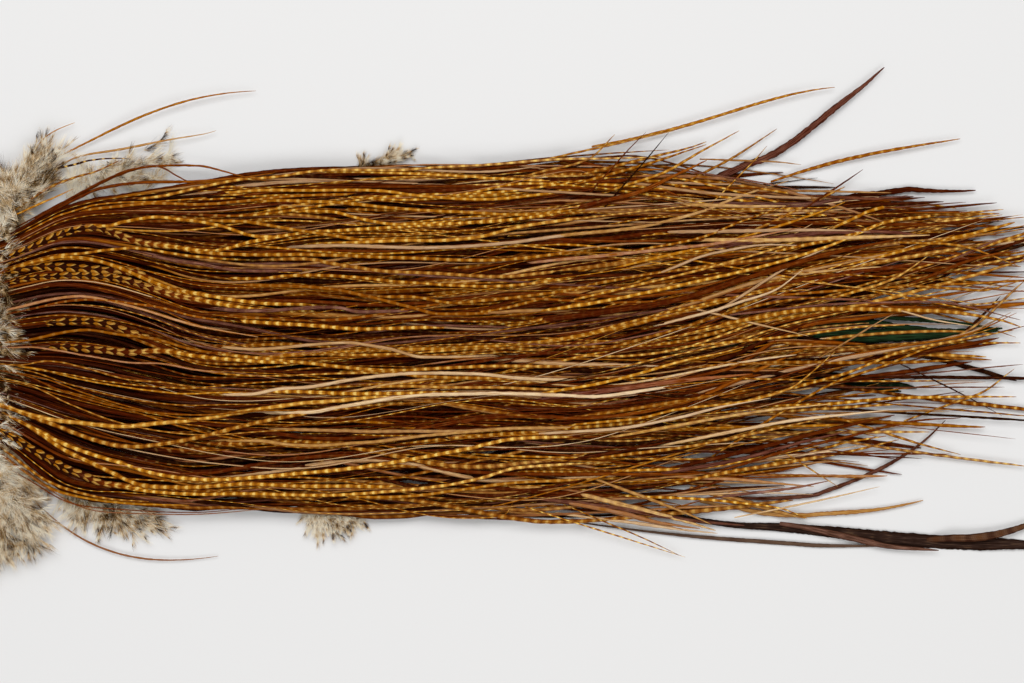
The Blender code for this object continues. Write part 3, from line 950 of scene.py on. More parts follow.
# Feathers that show best on top, as the photograph has them: finish, half width in millimetres
# and their way in its pixels. What the photograph hides of them follows the mat.
TRACED = (
    ("bead", 2.3, ((20, 255), (40, 247), (60, 238), (75, 232), (100, 229), (120, 235), (142, 243),
                   (180, 248), (200, 251), (220, 251), (250, 243), (300, 234), (350, 230), (400, 227),
                   (450, 224), (520, 219))),
    ("gold", 1.0, ((110, 227), (125, 223), (155, 218), (180, 220), (220, 226), (260, 237))),
    ("gold", 0.9, ((160, 197), (200, 188), (240, 180), (270, 178), (320, 171), (400, 170), (440, 167),
                   (480, 165), (520, 162), (560, 159), (620, 158))),
    ("gold", 1.0, ((240, 222), (270, 226), (300, 231), (340, 237), (360, 240))),
    ("gold", 0.8, ((80, 255), (120, 250), (140, 249), (175, 254))),
    ("bead", 2.2, ((28, 268), (60, 267), (100, 270), (140, 273), (160, 285), (200, 294), (270, 304))),
    ("bead", 1.9, ((30, 279), (60, 277), (100, 277), (130, 281), (160, 291), (200, 300), (262, 310))),
    ("gold", 1.1, ((40, 262), (80, 258), (100, 261), (120, 267), (160, 284))),
    ("gold", 1.1, ((220, 254), (300, 255), (400, 258), (520, 259))),
    ("mauve", 1.0, ((180, 262), (200, 264), (220, 268), (240, 271))),
    ("gold", 1.1, ((270, 201), (340, 203), (380, 207), (460, 212), (540, 214))),
    ("gold", 1.0, ((260, 191), (300, 191), (380, 191), (420, 196), (500, 199))),
    ("gold", 1.0, ((330, 212), (360, 219), (400, 225))),
    ("gold", 1.1, ((360, 243), (400, 241), (440, 241), (480, 237), (520, 227))),
    ("cream", 1.1, ((340, 246), (420, 248), (460, 247), (500, 244), (520, 242))),
    ("gold", 1.2, ((300, 259), (340, 265), (380, 271), (440, 274), (520, 276))),
    ("gold", 1.0, ((260, 279), (290, 276), (350, 277), (400, 282), (520, 285))),
    ("orange", 1.1, ((270, 286), (330, 289), (370, 297), (410, 307), (440, 314))),
    ("gold", 1.0, ((410, 297), (450, 303), (480, 301), (520, 297))),
    ("mauve", 1.1, ((250, 311), (310, 308), (340, 308), (360, 312))),
    ("bead", 1.8, ((70, 322), (100, 322), (120, 328), (130, 332))),
    ("bead", 2.0, ((70, 346), (100, 349), (130, 352), (175, 352), (225, 359), (270, 362))),
    ("gold", 1.3, ((0, 403), (20, 410), (40, 416), (80, 422), (120, 426), (160, 423), (200, 419),
                   (240, 412), (300, 403), (340, 400), (380, 396))),
    ("gold", 1.3, ((0, 405), (60, 425), (80, 433), (100, 440), (120, 445), (140, 446), (180, 441),
                   (220, 432), (260, 422), (300, 414), (330, 409))),
    ("cream", 1.2, ((310, 412), (340, 407), (380, 400), (420, 395), (460, 394), (560, 395), (600, 396))),
    ("gold", 1.3, ((40, 430), (80, 449), (120, 462), (160, 474), (200, 479), (240, 478), (300, 473),
                   (360, 467), (400, 461), (460, 450), (520, 438))),
    ("gold", 1.3, ((30, 425), (60, 445), (100, 465), (140, 484), (180, 487), (240, 484), (300, 486),
                   (350, 486))),
    ("gold", 1.1, ((150, 491), (200, 494), (320, 495), (380, 492), (440, 486), (480, 478), (520, 467))),
    ("gold", 1.0, ((380, 497), (420, 495), (450, 491), (520, 482))),
    ("bead", 1.9, ((10, 434), (30, 447), (50, 458), (80, 473), (110, 484))),
    ("cream", 1.0, ((250, 349), (280, 348), (310, 345), (350, 343), (390, 349), (423, 357))),
    ("gold", 1.1, ((250, 357), (310, 363), (370, 369), (400, 370), (440, 368), (510, 366))),
    ("gold", 1.1, ((380, 371), (420, 376), (480, 378))),
    ("cream", 1.1, ((250, 394), (280, 389), (310, 387), (350, 380), (400, 374), (440, 373), (480, 374),
                    (520, 378))),
    ("bead", 1.5, ((290, 391), (320, 392), (400, 393))),
    ("gold", 1.0, ((390, 386), (450, 387), (520, 388))),
    ("buff", 1.1, ((300, 429), (340, 430), (380, 431), (460, 431), (520, 428))),
    ("buff", 1.0, ((260, 440), (290, 444), (320, 445), (350, 443), (380, 441), (440, 434), (520, 428))),
    ("bead", 1.4, ((270, 323), (320, 326), (370, 329))),
    ("orange", 0.5, ((24, 374), (60, 388), (100, 401), (150, 411), (210, 414), (270, 410))),
    ("gold", 0.4, ((28, 370), (70, 383), (120, 396), (175, 404), (240, 404))),
    ("orange", 0.5, ((36, 368), (80, 378), (130, 387), (180, 393), (230, 392))),
    ("gold", 0.4, ((30, 384), (70, 402), (110, 418), (160, 430), (220, 434), (280, 430))),
    ("orange", 0.4, ((40, 376), (90, 393), (140, 408), (200, 420), (260, 424))),
    ("gold", 0.4, ((60, 372), (110, 381), (170, 387), (240, 384), (300, 380))),
    ("orange", 0.5, ((90, 396), (140, 412), (190, 428), (250, 440), (310, 444))),
    ("gold", 0.4, ((200, 425), (230, 433), (260, 441), (300, 447))),
    ("orange", 0.9, ((110, 208), (150, 204), (200, 205), (240, 202), (300, 196))),
    ("orange", 0.5, ((55, 219), (75, 212), (95, 206), (120, 203), (160, 202))),
    ("rose", 0.5, ((32, 347), (60, 350), (88, 355), (130, 362), (180, 366))),
    ("orange", 0.7, ((22, 312), (50, 306), (90, 300), (130, 303), (180, 312))),
    ("orange", 0.8, ((26, 341), (60, 334), (90, 330), (120, 334), (170, 342))),
    ("gold", 0.5, ((20, 365), (50, 361), (90, 368), (130, 379), (180, 384))),
    ("cream", 0.3, ((32, 287), (50, 283), (80, 281), (120, 287))),
)

# How a traced feather runs into its lane before and after its known way, and how deep it lies
# where it is hidden. Where it is shown it lies a little higher than its neighbours.
EASE_IN = 45 * MM
SHOWS_BEFORE = 25 * MM
HIDES_AFTER = 40 * MM
HIDDEN_LEVEL = 0.3
TRACED_SPACING = 1.2 * MM
TRACED_LIFTS = np.linspace(0.35, 1.25, 5) * MM
LOOSE_LIFTS = np.linspace(0.3, 1.2, 4) * MM
TRACED_SHARE = 0.35
# The widths of a traced feather as a share of the one in the table. A beaded one is that broad
# near its root, and narrows between two shares of its length to a half width in millimetres.
TRACED_WIDTH = 0.73
BEAD_WIDTH = 0.85
BEAD_OUTER_WIDTH = 0.9
BEAD_NARROWS = (0.10, 0.28)


def bead_finish(share):
    """Dark with drops near the root, and gold with bars further out."""
    dark, light = FINISHES["bead"].tone, FINISHES["gold"].tone
    return FINISHES["bead"]._replace(tone=dark + (light - dark) * smooth_step(*DROPS_TO_BARS, share))


def traced_feather(layer, finish, half_width, pixels, number, chance):
    """A whole feather of the mat's top that passes where the photograph shows it."""
    knots, places = np.array([from_photo(pixel) for pixel in pixels]).T
    lanes_there = layer.lanes_at(knots, places)
    eased_knots = [knots[0] - EASE_IN, *knots, knots[-1] + EASE_IN]
    eased_lanes = [lanes_there[0], *lanes_there, lanes_there[-1]]
    row = int(layer.nearest(lanes_there[0]))
    root = layer.roots[row] + chance.uniform(0, 5) * MM
    tip = max(layer.tips[row] - chance.uniform(5, 90) * MM, knots[-1] + 15 * MM)
    share = np.linspace(0, 1, row_count(tip - root, TRACED_SPACING) + 1)
    x = root + (tip - root) * share
    lanes = smooth_curve(eased_knots, eased_lanes, x)
    shown = smooth_step(knots[0] - SHOWS_BEFORE, knots[0], x)
    shown = shown * (1 - smooth_step(knots[-1], knots[-1] + HIDES_AFTER, x))
    level = HIDDEN_LEVEL + (1 - HIDDEN_LEVEL) * shown
    z = layer.height(x, lanes, level) + TRACED_LIFTS[number % 5] * shown
    roll = wander(x, chance, 0.18, 0.2)
    if finish == "bead":
        look = bead_finish(share)
        broad = 1 - smooth_step(*BEAD_NARROWS, share)
        width = (BEAD_OUTER_WIDTH + (BEAD_WIDTH * half_width - BEAD_OUTER_WIDTH) * broad) * MM
    else:
        look = along_finish(FINISHES[finish], 0.3 + 0.7 * share, chance)
        width = TRACED_WIDTH * half_width * MM
    return row, Feather(
        np.stack([x, layer.y(x, lanes), z], axis=1), width, look, fold=0.7, roll=roll,
        columns=SHOWN_COLUMNS if half_width > 0.5 else HIDDEN_COLUMNS, phase=chance.uniform(0, 60),
        bar_scale=chance.uniform(0.85, 1.1), first_share=0 if finish == "bead" else TRACED_SHARE)


# The outer ends of feathers that come out of the mat and cross others or stick out of it: finish,
# half width in millimetres and their way in the photograph's pixels.
LOOSE = (
    ("gold", 0.7, ((540, 172), (590, 158), (615, 134))),
    ("gold", 0.6, ((560, 156), (600, 147), (640, 138), (675, 130))),
    ("mahogany", 0.45, ((612, 168), (630, 148), (646, 132))),
    ("dark", 0.45, ((630, 178), (650, 155), (669, 132))),
    ("gold", 0.9, ((600, 170), (650, 157), (690, 147), (707, 141))),
    ("gold", 0.8, ((590, 180), (650, 163), (680, 153), (707, 144))),
    ("gold", 0.8, ((627, 185), (665, 172), (700, 152), (740, 130))),
    ("mahogany", 1.2, ((600, 202), (640, 192), (682, 172), (707, 160))),
    ("gold", 0.7, ((690, 180), (715, 167), (737, 155), (778, 128))),
    ("buff", 0.6, ((745, 160), (775, 161), (802, 164))),
    ("gold", 0.45, ((740, 175), (755, 160), (768, 145))),
    ("mauve", 0.5, ((700, 173), (750, 180), (807, 191))),
    ("cream", 0.7, ((680, 183), (710, 184), (745, 184))),
    ("gold", 0.9, ((850, 220), (870, 211), (895, 205), (927, 204), (958, 208))),
    ("gold", 0.9, ((800, 246), (850, 235), (887, 222), (930, 216), (1005, 209))),
    ("mahogany", 0.6, ((825, 195), (848, 180), (864, 169))),
    ("buff", 0.7, ((770, 244), (790, 236), (812, 224))),
    ("cream", 0.7, ((675, 267), (700, 257), (725, 251), (762, 245), (807, 246))),
    ("gold", 0.9, ((560, 308), (600, 302), (640, 294), (682, 285), (760, 267), (825, 247), (887, 222))),
    ("mahogany", 1.5, ((560, 318), (600, 313), (675, 300), (750, 277), (825, 255), (895, 240))),
    ("gold", 0.7, ((590, 296), (680, 275), (750, 256), (800, 240), (845, 222))),
    ("orange", 0.8, ((640, 262), (700, 248), (760, 232), (820, 212), (850, 200))),
    ("gold", 0.7, ((640, 250), (700, 238), (740, 222), (790, 205))),
    ("cream", 0.8, ((685, 318), (712, 311), (740, 302), (775, 290), (802, 270))),
    ("gold", 0.8, ((600, 330), (650, 317), (700, 305), (760, 293), (810, 290))),
    ("gold", 0.8, ((620, 345), (680, 328), (740, 310), (790, 300), (850, 296))),
    ("gold", 0.8, ((850, 293), (880, 284), (900, 275), (928, 256))),
    ("gold", 1.2, ((740, 321), (760, 317), (800, 310), (850, 309), (900, 310), (950, 312), (1000, 320),
                   (1022, 327))),
    ("mauve", 0.6, ((740, 314), (825, 305), (900, 302), (950, 303), (1022, 320))),
    ("cream", 0.6, ((715, 314), (760, 325), (808, 336))),
    ("gold", 0.7, ((920, 243), (950, 244), (975, 249), (1020, 266))),
    ("mahogany", 0.9, ((940, 272), (965, 262), (990, 255), (1021, 250))),
    ("mauve", 0.6, ((975, 250), (1000, 239), (1021, 235))),
    ("gold", 0.8, ((930, 287), (960, 289), (987, 290), (1021, 281))),
    ("gold", 0.8, ((560, 390), (600, 383), (640, 373), (678, 362), (720, 353), (743, 347))),
    ("gold", 0.7, ((600, 422), (640, 418), (678, 409), (745, 401), (790, 388), (808, 375), (834, 352))),
    ("gold", 0.7, ((745, 436), (782, 412), (834, 383), (886, 365), (925, 349), (980, 335))),
    ("gold", 0.8, ((750, 400), (800, 386), (850, 372), (900, 352), (960, 340), (1015, 330))),
    ("gold", 0.9, ((800, 405), (829, 404), (886, 399), (951, 397), (1018, 397))),
    ("mahogany", 0.8, ((750, 462), (790, 450), (834, 440), (912, 422), (962, 418))),
    ("gold", 0.7, ((700, 345), (750, 340), (800, 335), (860, 327), (905, 325))),
    ("cream", 0.7, ((735, 300), (790, 265), (830, 246), (868, 228))),
    ("buff", 0.5, ((852, 338), (875, 324), (893, 314))),
    ("cream", 0.5, ((905, 312), (935, 320), (972, 326))),
    ("dark", 0.4, ((930, 378), (965, 395), (1004, 416))),
    ("gold", 0.7, ((950, 405), (985, 392), (1016, 369))),
    ("gold", 0.7, ((870, 428), (920, 444), (962, 455))),
    ("gold", 0.8, ((650, 497), (700, 499), (740, 503), (782, 509), (808, 519))),
    ("cream", 0.9, ((600, 519), (640, 524), (680, 530), (718, 534))),
    ("gold", 0.4, ((560, 518), (620, 537), (686, 558))),
    ("gold", 0.4, ((600, 520), (640, 537), (680, 556))),
    ("cream", 0.5, ((780, 509), (820, 501), (881, 487))),
    ("cream", 0.5, ((690, 495), (760, 493), (814, 495))),
    ("mauve", 0.8, ((740, 495), (790, 489), (832, 481))),
    ("gold", 0.5, ((812, 470), (826, 479), (839, 487))),
    ("mahogany", 0.6, ((45, 215), (80, 194), (110, 178), (130, 170), (160, 166), (200, 166), (215, 169),
                       (240, 176), (270, 182))),
    ("mahogany", 0.6, ((60, 205), (80, 195), (110, 179), (130, 171), (150, 166), (163, 168), (177, 176),
                       (192, 183), (212, 185))),
    ("mahogany", 0.8, ((60, 208), (80, 198), (100, 189), (140, 183), (190, 182), (240, 178), (275, 173))),
    ("gold", 0.7, ((30, 200), (45, 190), (60, 183), (80, 176), (95, 172), (120, 160))),
    ("orange", 0.6, ((34, 207), (48, 201), (60, 196), (75, 189))),
    ("rose", 0.7, ((20, 308), (60, 299), (90, 297), (140, 308), (200, 326), (260, 337))),
    ("buff", 1.3, ((600, 499), (640, 509), (680, 520), (716, 531))),
    ("rose", 1.2, ((580, 505), (620, 513), (660, 523), (700, 529))),
    ("buff", 0.9, ((620, 488), (660, 503), (690, 515), (712, 525))),
    ("cream", 0.8, ((610, 512), (650, 522), (690, 532))),
    ("mauve", 1.2, ((560, 501), (610, 507), (660, 516), (700, 522), (745, 526))),
    ("gold", 1.0, ((700, 478), (740, 470), (790, 462), (850, 452), (900, 440))),
    ("mahogany", 1.2, ((700, 462), (750, 450), (800, 437), (850, 425), (895, 415))),
    ("buff", 1.5, ((735, 500), (765, 508), (785, 514), (806, 519))),
    ("gold", 0.8, ((640, 470), (700, 468), (760, 458), (820, 446))),
    ("gold", 0.8, ((620, 455), (690, 446), (760, 432), (830, 417))),
    ("gold", 0.8, ((22, 462), (45, 478), (75, 490), (110, 498), (150, 501))),
    ("orange", 0.8, ((24, 470), (50, 487), (85, 497), (130, 503), (190, 505))),
    ("pied", 0.55, ((50, 170), (75, 164), (90, 160), (115, 158), (132, 159))),
    ("cream", 0.9, ((690, 440), (740, 430), (790, 421), (850, 414), (890, 410))),
    ("buff", 0.8, ((640, 432), (700, 421), (760, 411), (830, 404))),
    ("rose", 0.9, ((700, 478), (740, 480), (790, 485), (815, 487))),
    ("brown", 1.4, ((560, 396), (610, 390), (680, 381), (750, 374))),
    ("brown", 1.1, ((680, 470), (740, 459), (800, 443), (850, 431))),
    ("cream", 0.8, ((560, 432), (620, 428), (680, 417), (720, 407), (770, 398))),
    ("cream", 0.8, ((640, 184), (700, 192), (760, 196), (830, 198), (880, 196))),
    ("buff", 1.0, ((700, 205), (760, 206), (820, 203), (880, 197))),
    ("cream", 1.0, ((690, 232), (750, 231), (820, 230), (870, 232))),
    ("buff", 1.2, ((720, 240), (780, 240), (850, 238), (930, 235))),
    ("rose", 1.0, ((650, 176), (720, 178), (790, 192), (850, 210), (885, 222))),
    ("brown", 1.5, ((740, 204), (800, 205), (860, 199), (915, 196))),
    ("brown", 1.4, ((730, 245), (780, 238), (830, 232), (890, 232), (925, 236))),
    ("rose", 0.9, ((560, 260), (640, 252), (720, 243), (800, 228))),
    ("buff", 0.9, ((560, 236), (640, 227), (700, 212), (740, 196), (790, 180))),
    ("rose", 0.3, ((25, 470), (60, 495), (90, 509), (130, 513), (200, 514), (280, 507))),
    ("mahogany", 0.3, ((30, 480), (70, 502), (120, 509), (200, 512), (260, 506))),
)
# Broad green-black vanes low in the mat, where it parts.
GREEN_VANES = (
    ("green", 2.5, ((640, 338), (720, 333), (800, 325), (860, 322), (900, 327), (940, 330))),
    ("green", 2.7, ((640, 350), (720, 346), (800, 341), (880, 338), (950, 335), (1004, 328))),
    ("green", 2.3, ((690, 330), (800, 333), (880, 333), (960, 331), (1000, 331))),
    ("green", 1.2, ((900, 318), (950, 322), (1000, 329))),
)

# The green vanes' level in the mat, how long a lead-in is, and how a loose feather sinks past
# the mat: over what length, and down to what height.
GREEN_LEVEL = 0.15
LEAD_IN = 15 * MM
SETTLING = 20 * MM
LOWEST_LOOSE = 1 * MM
LOOSE_WIDTH = 0.85


def past_mat(layer, x, y, lanes):
    """How far these points lie outside the mat: over its edges, or past the tips of its locks."""
    last_lane = len(layer.names) - 1
    above = y - layer.y(x, np.full(len(x), -0.4))
    below = layer.y(x, np.full(len(x), last_lane + 0.4)) - y
    past_tip = x - np.array(layer.tips)[layer.nearest(lanes)]
    return np.maximum(np.maximum(above, below), np.maximum(past_tip, 0))


def loose_feather(layer, finish, half_width, pixels, number, chance):
    """The shown end of a feather, with a lead-in that comes up from inside the mat."""
    knots, places = np.array([from_photo(pixel) for pixel in pixels]).T
    slope = (places[1] - places[0]) / (knots[1] - knots[0])
    knots = np.concatenate([[knots[0] - LEAD_IN], knots])
    places = np.concatenate([[places[0] - slope * LEAD_IN], places])
    length = np.hypot(knots[-1] - knots[0], places[-1] - places[0])
    share = np.linspace(0, 1, row_count(length, TRACED_SPACING) + 1)
    x = knots[0] + (knots[-1] - knots[0]) * share
    y = smooth_curve(knots, places, x)
    lanes = layer.lanes_at(x, y)
    emerging = smooth_step(knots[0], knots[0] + LEAD_IN, x)
    level = HIDDEN_LEVEL + (1 - HIDDEN_LEVEL) * emerging
    lift = LOOSE_LIFTS[number % 4]
    if finish == "green":
        level = GREEN_LEVEL
        lift = 0
    z = layer.height(x, lanes, level) + lift * emerging
    settled = np.exp(-past_mat(layer, x, y, lanes) / SETTLING)
    z = np.maximum(z * settled, LOWEST_LOOSE + lift)
    look = along_finish(FINISHES[finish], 0.5 + 0.5 * share, chance)
    return int(layer.nearest(lanes[0])), Feather(
        np.stack([x, y, z], axis=1), LOOSE_WIDTH * half_width * MM, look, fold=0.6,
        roll=wander(x, chance, 0.2, 0.1), columns=SHOWN_COLUMNS, phase=chance.uniform(0, 60),
        bar_scale=chance.uniform(0.9, 1.2), tip_length=min(0.4 * length, 25 * MM), first_share=0.5)


# Feathers that lie apart, with the finish and half width in millimetres of each.
SINGLE_FEATHERS = {
    "stray_hackle_upper_left_curl": ("orange", 0.5),
    "stray_hackle_upper_left_arc": ("orange", 0.5),
    "stray_hackle_upper_left_cream": ("buff", 0.5),
    "stray_hackle_lower_left_arc": ("rose", 0.42),
    "stray_hackle_upper_right_dark": ("brown", 1.5),
    "stray_hackle_upper_right_gold": ("gold", 0.7),
    "stray_hackle_upper_right_barred": ("gold", 0.8),
    "stray_hackle_upper_right_black": ("dark", 1.3),
    "stray_hackle_lower_right_purple": ("mauve", 0.9),
    "stray_hackle_lower_right_gold": ("buff", 1.0),
    "tail_feather_thin": ("mahogany", 0.9),
    "tail_feather_long": ("dark", 3.0),
    "tail_feather_barred": ("orange", 1.7),
}

# Where some of them come from, under the edge of the mat, and carry on past their end, in the
# photograph's pixels. Between, they keep to their solid from this share of its length on. A
# height, in millimetres, is where one starts if not at its solid's own start.
Extension = namedtuple("Extension", "before after kept_from height", defaults=((), 0.125, None))
EXTENSIONS = {
    "stray_hackle_upper_right_dark": Extension(((672, 203), (692, 192), (712, 180))),
    "stray_hackle_upper_right_black": Extension(
        ((740, 205), (790, 202), (840, 198), (880, 193)), kept_from=0.6),
    "stray_hackle_lower_right_purple": Extension(((735, 498), (765, 499))),
    "stray_hackle_lower_right_gold": Extension(((700, 502), (740, 509), (765, 514))),
    "tail_feather_thin": Extension(((540, 513), (580, 523), (630, 530)), ((872, 547), (895, 547))),
    "tail_feather_long": Extension(((640, 508), (670, 516))),
    "tail_feather_barred": Extension(((850, 541), (885, 543), (915, 542)), kept_from=0.4, height=0.4),
}
KEPT_POINTS = 9
KEPT_TO = 0.875

# A second dark vane that crosses the long tail feather, a little above it.
CROSSING_VANE = ((780, 524), (805, 528), (850, 538), (890, 547), (940, 551))
CROSSING_HALF_WIDTH = 1.3 * MM
CROSSING_LIFT = 0.8 * MM

SINGLE_SPACING = 0.9 * MM
SINGLE_BENDS = 5
SINGLE_BARRING = 0.5
TAIL_COLUMNS = 6
TAIL_ROOT_WIDTH = 0.35
TAIL_WIDENS = (0.15, 0.65)
TAIL_BAR_SCALE = 0.5


def even_places(first, last):
    """Evenly spaced X along a single feather, and their shares of the way."""
    share = np.linspace(0, 1, row_count(last - first, SINGLE_SPACING) + 1)
    return first + (last - first) * share, share


def extended(extension, x, y, z):
    """A single feather's route with its extensions, and shares of the way along it."""
    before, after = (
        np.array([from_photo(pixel) for pixel in pixels]).reshape(-1, 2)
        for pixels in (extension.before, extension.after))
    kept_to = KEPT_TO if len(after) else 1
    kept = (np.linspace(extension.kept_from, kept_to, KEPT_POINTS) * (len(x) - 1)).astype(int)
    start_height = z[0] if extension.height is None else extension.height * MM
    knots = np.concatenate([before[:, 0], x[kept], after[:, 0]])
    sideways = np.concatenate([before[:, 1], y[kept], after[:, 1]])
    heights = np.concatenate([np.full(len(before), start_height), z[kept], np.full(len(after), z[-1])])
    x, share = even_places(knots[0], knots[-1])
    return x, smooth_curve(knots, sideways, x), smooth_curve(knots, heights, x), share


def quill_through(node):
    """The quill's route along a single feather of the frame: a smooth curve through its middle."""
    points = corners(node)
    first = points[:, 0].min()
    last = points[:, 0].max()
    scaled = (points[:, 0] - first) / (last - first)
    x, share = even_places(first, last)
    y, z = (np.polyval(np.polyfit(scaled, points[:, k], SINGLE_BENDS), share) for k in (1, 2))
    if node in EXTENSIONS:
        x, y, z, share = extended(EXTENSIONS[node], x, y, z)
    return np.stack([x, y, z], axis=1), share


def crossing_vane(under, chance):
    """The vane that crosses this one."""
    knots, places = np.array([from_photo(pixel) for pixel in CROSSING_VANE]).T
    x, share = even_places(knots[0], knots[-1])
    height = under.route[:, 2].max() + CROSSING_LIFT
    route = np.stack([x, smooth_curve(knots, places, x), np.full(len(x), height)], axis=1)
    look = along_finish(FINISHES["mauve"], 0.5 + 0.5 * share, chance)
    return under._replace(route=route, half_width=CROSSING_HALF_WIDTH, finish=look, roll=0 * x)


def single_feather(node, finish, half_width, chance):
    """A feather along the middle of its solid. Tail feathers are narrow at their root."""
    route, share = quill_through(node)
    look = along_finish(FINISHES[finish], 0.5 + 0.5 * share, chance)
    look = look._replace(barring=look.barring * SINGLE_BARRING)
    tail = node.startswith("tail")
    widening = TAIL_ROOT_WIDTH + (1 - TAIL_ROOT_WIDTH) * smooth_step(*TAIL_WIDENS, share) if tail else 1
    feather = Feather(
        route, half_width * widening * MM, look, fold=0.4, roll=wander(route[:, 0], chance, 0.25, 0.1),
        columns=TAIL_COLUMNS if tail else SHOWN_COLUMNS, phase=chance.uniform(0, 60),
        teeth=0.12 if tail else 0.25, first_share=0.5)
    if node == "tail_feather_barred":
        feather = feather._replace(finish=look._replace(barring=1.0), bar_scale=TAIL_BAR_SCALE)
    return feather


def make_single_feathers(materials, chance):
    for node, (finish, half_width) in SINGLE_FEATHERS.items():
        vanes = [single_feather(node, finish, half_width, chance)]
        if node == "tail_feather_long":
            vanes.append(crossing_vane(vanes[0], chance))
        kind = "tail" if node.startswith("tail") else "hackle"
        piece = make_feathers(node + "_vane", vanes, materials[kind], chance)
        finish_piece(piece, "tail_feather" if kind == "tail" else "stray_hackle", node)


# Which way each tuft's plumes point, in degrees from +X, their tone, how many there are to a
# square centimetre, how much they fan out, and a factor of their length.
Tuft = namedtuple("Tuft", "heading tone plumes fan size")
TUFTS = {
    "down_front": Tuft(180, 0.64, 7, 1, 1),
    "down_upper_front": Tuft(120, 0.64, 9, 1, 1),
    "down_lower_front": Tuft(-120, 0.72, 9, 1, 1),
    "down_upper_flank": Tuft(62, 0.55, 20, 1, 1),
    "down_upper_edge": Tuft(25, 1.0, 11, 1, 1),
    "down_lower_flank": Tuft(-75, 0.78, 20, 1, 1),
    "down_lower_edge": Tuft(-45, 0.84, 17, 1, 0.85),
    "down_upper_tuft": Tuft(27, 0.55, 30, 0.25, 0.55),
    "down_lower_tuft": Tuft(-68, 0.88, 34, 0.7, 0.6),
}
# A plume's length in millimetres, how far back from its tuft's surface it starts, as a share of
# its length, how much its heading differs, and how much it turns away from the tuft's middle.
PLUME_LENGTH = (7, 14)
PLUME_SET_BACK = 0.75
PLUME_SPREAD = 0.3
PLUME_TURN = 0.4

BARBS_PER_SIDE = 26
BARB_HALF_WIDTH = 0.065 * MM
BARB_STATIONS = 4
# A barb's length as a share of its plume's, how much shorter the outer ones are, how wide they
# open at the plume's root and how much less at its tip. Then how far they curl forward and how
# far they rise, as the middle and the spread.
BARB_LENGTH = 0.62
BARB_SHORTENING = 0.55
BARB_OPENING = (0.55, 0.42)
BARB_CURL = (0.12, 0.1)
BARB_RISE = (0.12, 0.22)
# How plumes differ in tone, as the middle and the spread, how strong their bars may be, and how
# barbs differ in tone.
PLUME_TONES = (0.02, 0.34)
PLUME_BARS = (0.4, 0.8, 1.6)
BARB_TONES = 0.17

# Fluff of the front tuft that lies over the hackles' roots: how many plumes, their root's line
# along X, and their tones from the mat's upper edge to its lower one, as Y in millimetres and tone.
COLLAR_PLUMES = 120
COLLAR_X = (7 * MM, 19 * MM)
COLLAR_TONES = ((36, 0.45), (20, 0.5), (15, 0.3), (7, 0.3), (5, 0.85), (-5, 0.8), (-10, 0.15), (-20, 0.15),
                (-23, 0.9), (-45, 0.85))

# Fluff that comes out from under the mat's lower edge beside the front tuft: how many plumes,
# the ends of their roots' line in the photograph's pixels, and their heading and tone.
UNDER_EDGE_PLUMES = 46
UNDER_EDGE_LINE = ((4, 446), (96, 502))
UNDER_EDGE_HEADING = -64
UNDER_EDGE_TONE = 0.80

# The soft mound inside a tuft: its size as a share of its solid's, and how flat and lumpy it is.
MOUND_SIZE = 0.4
MOUND_FLATNESS = 0.4
MOUND_LUMPS = 0.2
LUMP_SCALE = 180
MOUND_SHADE = 0.9


def plume_barbs(root, heading, length, tone, chance):
    """The middle lines of one plume's barbs, and their tones along them."""
    count = 2 * BARBS_PER_SIDE
    place = np.repeat(np.linspace(0.08, 1, BARBS_PER_SIDE), 2) + chance.normal(0, 0.015, count)
    hand = np.tile([1.0, -1.0], BARBS_PER_SIDE)
    quill_heading = heading + chance.normal(0, 0.35) * place
    forward = np.stack([np.cos(quill_heading), np.sin(quill_heading), np.zeros(count)], axis=1)
    left = np.stack([-forward[:, 1], forward[:, 0], np.zeros(count)], axis=1)
    start = root + forward * (place * length)[:, None]
    reach = length * BARB_LENGTH * (1 - BARB_SHORTENING * place) * chance.uniform(0.7, 1.2, count)
    opening = (BARB_OPENING[0] - BARB_OPENING[1] * place) * chance.uniform(0.4, 1.4, count)
    step = np.linspace(0, 1, BARB_STATIONS)[None, :, None]
    out = left[:, None, :] * (hand * np.sin(opening))[:, None, None]
    ahead = forward[:, None, :] * np.cos(opening)[:, None, None]
    curl = forward[:, None, :] * chance.normal(*BARB_CURL, count)[:, None, None]
    lines = start[:, None, :] + reach[:, None, None] * ((out + ahead) * step + curl * step ** 2)
    rise = chance.normal(*BARB_RISE, count) * reach
    lines[:, :, 2] += rise[:, None] * step[:, :, 0] ** 1.3
    return lines, barb_tones(place, step[:, :, 0], tone, chance)


def barb_tones(place, step, tone, chance):
    """Tones along a plume's barbs, with a few soft bars over the plume."""
    bars = 0.5 + 0.5 * np.sin((place[:, None] + 0.4 * step) * 11 + chance.uniform(0, 6.3))
    plume_tone = tone + chance.normal(*PLUME_TONES)
    tones = plume_tone + (bars - 0.55) * chance.choice(PLUME_BARS)
    return tones + chance.normal(0, BARB_TONES, (len(place), 1))


def tuft_roots(node, plumes, chance):
    """Points spread over the upper side of a tuft of the frame."""
    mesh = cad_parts[node].data
    mesh.calc_loop_triangles()
    points = corners(node)
    triangles = np.array([tri.vertices[:] for tri in mesh.loop_triangles])
    a, b, c = (points[triangles[:, k]] for k in range(3))
    normal = np.cross(b - a, c - a)
    area = np.where(normal[:, 2] > 0, np.linalg.norm(normal, axis=1) / 2, 0)
    count = max(int(area.sum() * 1e4 * plumes), 6)
    chosen = chance.choice(len(area), count, p=area / area.sum())
    first, second = np.sqrt(chance.uniform(0, 1, count)), chance.uniform(0, 1, count)
    return (
        a[chosen] * (1 - first)[:, None]
        + b[chosen] * (first * (1 - second))[:, None]
        + c[chosen] * (first * second)[:, None]
    )


